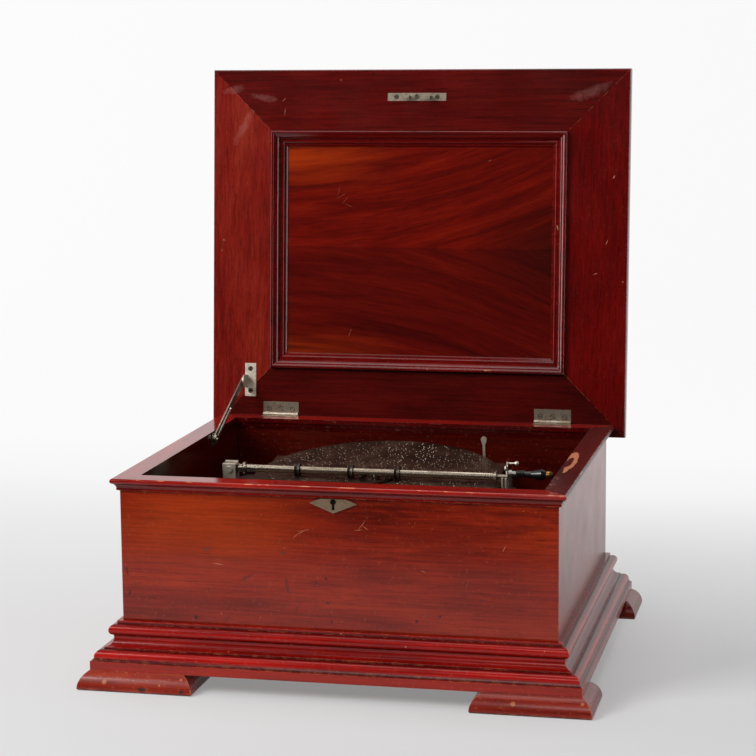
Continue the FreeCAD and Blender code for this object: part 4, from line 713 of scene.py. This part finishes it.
def screw_slot_shadows():
    """Painted shade on the countersunk screws: a dark strip for each slot, turned at random, and a dark shadow ring
    round each head.
    """
    rng = random.Random(5)
    screw_radius = 0.0026
    leaf_face = -0.0002
    leaf_middle = 0.0072
    bracket_face = -0.0001
    bracket_middle = 0.04455
    strike_screw_inset = 0.00495
    places = []
    for side in (-1, 1):
        centre = (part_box("lid_hinge_left")[0].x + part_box("lid_hinge_left")[1].x) / 2
        for offset in (-0.0157, 0, 0.0157):
            places.append((open_point(side * abs(centre) + offset, leaf_middle, leaf_face), screw_radius))
    for offset in (-0.0145, 0.0145):
        places.append((open_point(stay_plate_x, bracket_middle + offset, bracket_face), screw_radius))
    strike_low, strike_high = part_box("strike_plate")
    strike_x = (strike_low.x + strike_high.x) / 2
    strike_up = (strike_high.z - lid_hinge.z - strike_screw_inset) / lid_up.z
    for offset in (-0.0266, 0, 0.0266):
        places.append((open_point(strike_x + offset, strike_up, leaf_face), screw_radius))
    bm = bmesh.new()
    ring_sides = 24
    for place, radius in places:
        angle = rng.uniform(0, math.pi)
        across = Vector((1, 0, 0)) * math.cos(angle) + lid_up * math.sin(angle)
        other = lid_out.cross(across)
        surface = place + lid_out * 0.00002
        # A dark strip for the slot and a dark ring round the head: painted shade.
        add_block(bm, surface, across, other, lid_out, (radius * 1.7, 0.0008, 0.00002))
        ring = []
        for i in range(ring_sides):
            a = 2 * math.pi * i / ring_sides
            way = across * math.cos(a) + other * math.sin(a)
            ring.append((bm.verts.new(surface + way * radius * 0.98), bm.verts.new(surface + way * radius * 1.22)))
        for i in range(ring_sides):
            inner, outer = ring[i]
            next_inner, next_outer = ring[(i + 1) % ring_sides]
            bm.faces.new((inner, outer, next_outer, next_inner))
    new_piece("lid_screw_slots", bm, "lid", "slot_shadow")


def scars(name, body, skin, facing, up, marks, seed):
    """Small flat scars with ragged outlines, just proud of the surface. A mark is (point, length, width, angle)."""
    corners = 14
    proud = 0.00012
    rng = random.Random(seed)
    bm = bmesh.new()
    side = up.cross(facing)
    for point, length, width, angle in marks:
        along = side * math.cos(angle) + up * math.sin(angle)
        across = facing.cross(along)
        verts = []
        for i in range(corners):
            a = 2 * math.pi * i / corners
            r = rng.uniform(0.6, 1.15)
            offset = along * (math.cos(a) * length / 2 * r) + across * (math.sin(a) * width / 2 * r)
            verts.append(bm.verts.new(Vector(point) + offset + facing * proud))
        bm.faces.new(verts)
    new_piece(name, bm, body, skin)


def front_scars():
    """Dents, smears and scratches on the front wall. Rows: x and z, length and width in mm, angle."""
    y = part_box("front_wall")[0].y
    facing, up = Vector((0, -1, 0)), Vector((0, 0, 1))

    def rows(*values):
        return [((x, y, z), length / 1000, width / 1000, angle) for x, z, length, width, angle in values]

    scars("front_dents", "case", "scar_dark", facing, up, rows(
        (-0.1634, 0.0805, 5.2, 4.6, 0),
        (-0.0226, 0.1266, 3.0, 2.8, 0),
        (-0.0091, 0.1044, 3.2, 3.0, 0),
        (-0.0047, 0.0827, 2.6, 2.6, 0),
        (0.1184, 0.0950, 2.6, 2.4, 0),
        (0.163, 0.1162, 2.2, 2.2, 0),
        (-0.2442, 0.1314, 2.0, 12.0, 0.2),
        (-0.2413, 0.1047, 2.4, 6.0, -0.3),
        (0.2050, 0.1500, 2.0, 2.0, 0)), 3)
    scars("front_smears", "case", "scar_faint", facing, up, rows(
        (-0.0560, 0.1225, 3.6, 24.0, 0.12),
        (-0.0450, 0.0965, 12.0, 1.6, 0.9),
        (-0.1025, 0.1298, 18.0, 2.4, 0.5),
        (-0.1268, 0.0812, 15.0, 1.4, 0.75),
        (-0.0590, 0.0990, 10.0, 1.4, 0.85),
        (-0.1487, 0.1600, 8.0, 4.0, 0.4),
        (0.0900, 0.1080, 10.0, 1.2, -0.5),
        (0.1490, 0.1330, 13.0, 1.2, 1.2),
        (-0.0602, 0.1593, 7.5, 3.0, 0.3)), 4)
    scars("front_scratches", "case", "scar_pale", facing, up, rows(
        (-0.0402, 0.1830, 19.0, 0.5, 0.55),
        (-0.0360, 0.1860, 15.0, 0.5, 0.2),
        (-0.0450, 0.1800, 12.0, 0.5, 0.8),
        (0.0307, 0.1950, 12.0, 0.6, 0.9),
        (0.0340, 0.1920, 13.0, 0.5, -0.6),
        (0.0270, 0.1890, 11.0, 0.5, 0.1),
        (-0.1361, 0.1433, 13.0, 0.8, -0.12),
        (0.1000, 0.1450, 7.0, 0.5, -0.3),
        (0.1900, 0.1750, 9.0, 0.5, 1.1)), 6)


def lid_scars():
    """Nicks on the lid's frame, its moulding and its panel. Rows: x and z, length and width in mm, angle."""
    frame_face = -0.0005
    panel_face = -0.0094
    moulding_crest = 0.0057
    moulding_step = -0.0031

    def mark(x, z, length, width, angle, down):
        back = (z - lid_hinge.z) / lid_up.z
        return (open_point(x, back, down), length / 1000, width / 1000, angle)

    scratches = (
        (-0.0975, 0.5180, 14.0, 0.6, 0.9),
        (-0.1020, 0.5240, 18.0, 0.5, 0.5),
        (-0.0930, 0.5120, 12.0, 0.5, -0.4),
        (-0.1056, 0.5308, 15.0, 0.5, 1.3),
        (-0.0894, 0.3470, 13.0, 0.7, 1.2),
        (0.0927, 0.5704, 6.0, 1.0, 0.4))
    scars("panel_scratches", "lid", "scar_panel", lid_out, lid_up,
          [mark(*row, panel_face) for row in scratches], 7)
    nicks = (
        (0.2528, 0.5503, 5.0, 2.2, 1.1),
        (0.2453, 0.4688, 9.0, 1.0, 1.2),
        (0.2308, 0.4283, 7.0, 0.9, 0.4),
        (0.2664, 0.4188, 3.0, 2.2, 0.0),
        (-0.2582, 0.4652, 2.4, 1.8, 0.0),
        (-0.2609, 0.4521, 4.0, 1.0, 1.4),
        (-0.1778, 0.6470, 8.0, 0.6, 0.9),
        (-0.1763, 0.6315, 12.0, 0.6, 1.5),
        (-0.1019, 0.6724, 2.0, 1.6, 0.0))
    scars("lid_nicks", "lid", "scar_rub", lid_out, lid_up, [mark(*row, frame_face) for row in nicks], 8)
    chips = (
        (0.0950, 0.3030, 12.0, 2.4, 0.0, moulding_crest),
        (0.0170, 0.3030, 3.4, 1.4, 0.0, moulding_crest),
        (0.1818, 0.4860, 1.8, 8.0, 0.2, moulding_step))
    scars("moulding_chips", "lid", "scar_chip", lid_out, lid_up, [mark(*row) for row in chips], 9)


def foot_scars():
    """Two dark dents low on the front left foot."""
    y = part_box("foot_front_left")[0].y
    spots = [((-0.2155, y, 0.0050), 0.0090, 0.0048, 0.1), ((-0.1700, y, 0.0046), 0.0060, 0.0036, 0.0)]
    scars("foot_dents", "case", "scar_dark", Vector((0, -1, 0)), Vector((0, 0, 1)), spots, 2)


def scar_skin(name, dark, light):
    """A dull, mottled patch for dents and scratches."""
    s = Shader(name)
    colour = s.ramp(s.noise(s.place(), 240.0, 3.0), [(0.4, dark), (0.65, light)])
    s.set(Base_Color=colour, Roughness=0.5)
    return s.material


def keyhole_shadow():
    """The dark behind the keyhole."""
    low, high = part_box("escutcheon")
    eye = Vector(((low.x + high.x) / 2, low.y + 0.00045, 0.2197))
    eye_radius = 0.0033
    slot_half = 0.0016
    slot_low = -0.0088
    points = []
    for degrees in range(-155, 156, 10):
        a = math.radians(degrees)
        points.append((eye_radius * math.sin(a), eye_radius * math.cos(a)))
    points += [(slot_half, slot_low), (-slot_half, slot_low)]
    bm = bmesh.new()
    bm.faces.new([bm.verts.new(eye + Vector((a, 0, b))) for a, b in points])
    new_piece("keyhole_shadow", bm, "case", "slot_shadow")


skins["scar_dark"] = scar_skin("dent_shadow", linear(40, 16, 14), linear(70, 28, 22))
skins["scar_faint"] = scar_skin("smear", linear(92, 26, 18), linear(116, 36, 22))
skins["scar_pale"] = scar_skin("scratch", linear(172, 88, 54), linear(214, 140, 104))
skins["scar_panel"] = scar_skin("panel_scratch", linear(112, 34, 18), linear(150, 72, 46))
skins["scar_rub"] = scar_skin("nick", linear(150, 70, 52), linear(190, 118, 96))
skins["scar_chip"] = scar_skin("chip", linear(176, 104, 60), linear(222, 160, 112))
screw_slot_shadows()
keyhole_shadow()
front_scars()
lid_scars()
foot_scars()


# Stage, light and camera

def white_sweep():
    """A white table that curves up into a backdrop. It brightens away from the object, as in the photograph."""
    mirror_share = 0.8
    fall_to_right = 0.012
    profile = [(table_front, 0.0), (backdrop_y - backdrop_radius, 0.0)]
    steps = 16
    for i in range(1, steps + 1):
        a = math.pi / 2 * i / steps
        profile.append((backdrop_y - backdrop_radius + backdrop_radius * math.sin(a),
                        backdrop_radius - backdrop_radius * math.cos(a)))
    profile.append((backdrop_y, backdrop_top))
    bm = bmesh.new()
    rows = [[bm.verts.new((side, y, z)) for y, z in profile] for side in (-table_half_width, table_half_width)]
    for i in range(len(profile) - 1):
        face = bm.faces.new((rows[0][i], rows[1][i], rows[1][i + 1], rows[0][i + 1]))
        face.smooth = True
    mesh = bpy.data.meshes.new("table_sweep")
    bm.to_mesh(mesh)
    bm.free()
    sweep = bpy.data.objects.new("table_sweep", mesh)
    bpy.context.scene.collection.objects.link(sweep)
    s = Shader("white_table")
    position = s.split(s.place())
    depth = s.ramp(s.math("ADD", s.math("MULTIPLY", position[1], 0.6), 0.25),
                   [(0.0, 0.22), (0.25, 0.30), (0.55, 0.60), (0.80, 0.90), (1.0, 0.98)])
    path = s.add("ShaderNodeLightPath")
    mirrored = s.math("MAXIMUM", path.outputs["Is Glossy Ray"], path.outputs["Is Transmission Ray"])
    seen = s.math("MAXIMUM", path.outputs["Is Camera Ray"], s.math("MULTIPLY", mirrored, mirror_share))
    falling = s.math("SUBTRACT", 0.99, s.math("MULTIPLY", position[0], fall_to_right))
    depth = s.math("MULTIPLY", depth, falling)
    s.set(Base_Color=linear(204, 204, 205), Roughness=0.7)
    s.put(s.surface.inputs["Specular IOR Level"], 0.1)
    glow = s.add("ShaderNodeEmission")
    glow.inputs["Color"].default_value = linear(252, 252, 252)
    blend = s.add("ShaderNodeMixShader")
    s.put(blend.inputs[0], s.math("MULTIPLY", depth, seen))
    s.put(blend.inputs[1], s.surface.outputs[0])
    s.put(blend.inputs[2], glow.outputs[0])
    out = [node for node in s.tree.nodes if node.type == "OUTPUT_MATERIAL"][0]
    s.tree.links.new(blend.outputs[0], out.inputs[0])
    mesh.materials.append(s.material)


def softbox(name, place, target, width, height, watts, tint=(1.0, 1.0, 1.0)):
    """A rectangular area lamp that faces a target."""
    data = bpy.data.lights.new(name, "AREA")
    data.shape = "RECTANGLE"
    data.size = width
    data.size_y = height
    data.energy = watts
    data.color = tint
    lamp = bpy.data.objects.new(name, data)
    lamp.location = place
    lamp.rotation_euler = (Vector(target) - Vector(place)).to_track_quat("-Z", "Y").to_euler()
    bpy.context.scene.collection.objects.link(lamp)


def light_scene():
    """Soft lamps, and a world that is white behind, dark in front and dim for diffuse light."""
    softbox("left_softbox", (-2.1, -1.9, 2.1), (0, 0, 0.25), 1.5, 1.5, 92)
    softbox("left_strip", (-2.0, 0.1, 0.8), (0, 0, 0.4), 0.3, 1.5, 8)
    softbox("right_strip", (2.1, 0.0, 0.8), (0, 0, 0.4), 0.3, 1.5, 8)
    softbox("top_softbox", (-0.2, 0.1, 3.0), (0, 0.1, 0.2), 2.2, 1.6, 26)
    softbox("front_fill", (0.2, -3.4, 2.4), (0, 0, 0.3), 1.2, 0.8, 16)
    mirror_behind = 0.75
    mirror_front = 0.012
    diffuse_strength = 0.15
    world = bpy.data.worlds.new("studio")
    bpy.context.scene.world = world
    world.use_nodes = True
    tree = world.node_tree
    tree.nodes.clear()

    def join(kind, first, second, **settings):
        node = tree.nodes.new(kind)
        for key, value in settings.items():
            setattr(node, key, value)
        for socket, value in zip(node.inputs, (first, second)):
            if isinstance(value, bpy.types.NodeSocket):
                tree.links.new(value, socket)
            else:
                socket.default_value = value
        return node.outputs[0]

    path = tree.nodes.new("ShaderNodeLightPath")
    side = tree.nodes.new("ShaderNodeSeparateXYZ")
    tree.links.new(tree.nodes.new("ShaderNodeTexCoord").outputs["Generated"], side.inputs[0])
    behind = join("ShaderNodeMath", side.outputs["Y"], 1.6, operation="MULTIPLY", use_clamp=True)
    from_behind = join("ShaderNodeMath", behind, mirror_behind, operation="MULTIPLY")
    mirrored = join("ShaderNodeMath", from_behind, mirror_front, operation="ADD")
    glossy = join("ShaderNodeMath", mirrored, path.outputs["Is Glossy Ray"], operation="MULTIPLY")
    diffuse = join("ShaderNodeMath", path.outputs["Is Diffuse Ray"], diffuse_strength, operation="MULTIPLY")
    seen = join("ShaderNodeMath", path.outputs["Is Camera Ray"], path.outputs["Is Transmission Ray"], operation="ADD")
    strength = join("ShaderNodeMath", join("ShaderNodeMath", glossy, diffuse, operation="ADD"), seen, operation="ADD")
    background = tree.nodes.new("ShaderNodeBackground")
    background.inputs["Color"].default_value = (0.97, 0.97, 0.98, 1)
    tree.links.new(strength, background.inputs["Strength"])
    out = tree.nodes.new("ShaderNodeOutputWorld")
    tree.links.new(background.outputs[0], out.inputs[0])


def place_camera():
    """The photograph's camera, from its yaw, pitch, roll, place and focal length."""
    data = bpy.data.cameras.new("photo_camera")
    data.sensor_width = sensor_width
    data.lens = focal_pixels / image_width * sensor_width
    data.clip_start = 0.05
    data.clip_end = 50
    forward = Vector((-math.sin(camera_yaw) * math.cos(camera_pitch), math.cos(camera_yaw) * math.cos(camera_pitch),
                      -math.sin(camera_pitch)))
    level = Vector((math.cos(camera_yaw), math.sin(camera_yaw), 0))
    upward = level.cross(forward)
    right = level * math.cos(camera_roll) + upward * math.sin(camera_roll)
    up = -level * math.sin(camera_roll) + upward * math.cos(camera_roll)
    turn = Matrix((right, up, -forward)).transposed().to_4x4()
    camera = bpy.data.objects.new("photo_camera", data)
    camera.matrix_world = Matrix.Translation(camera_place) @ turn
    bpy.context.scene.collection.objects.link(camera)
    bpy.context.scene.camera = camera


white_sweep()
light_scene()
place_camera()
bpy.context.scene.view_settings.view_transform = "Standard"
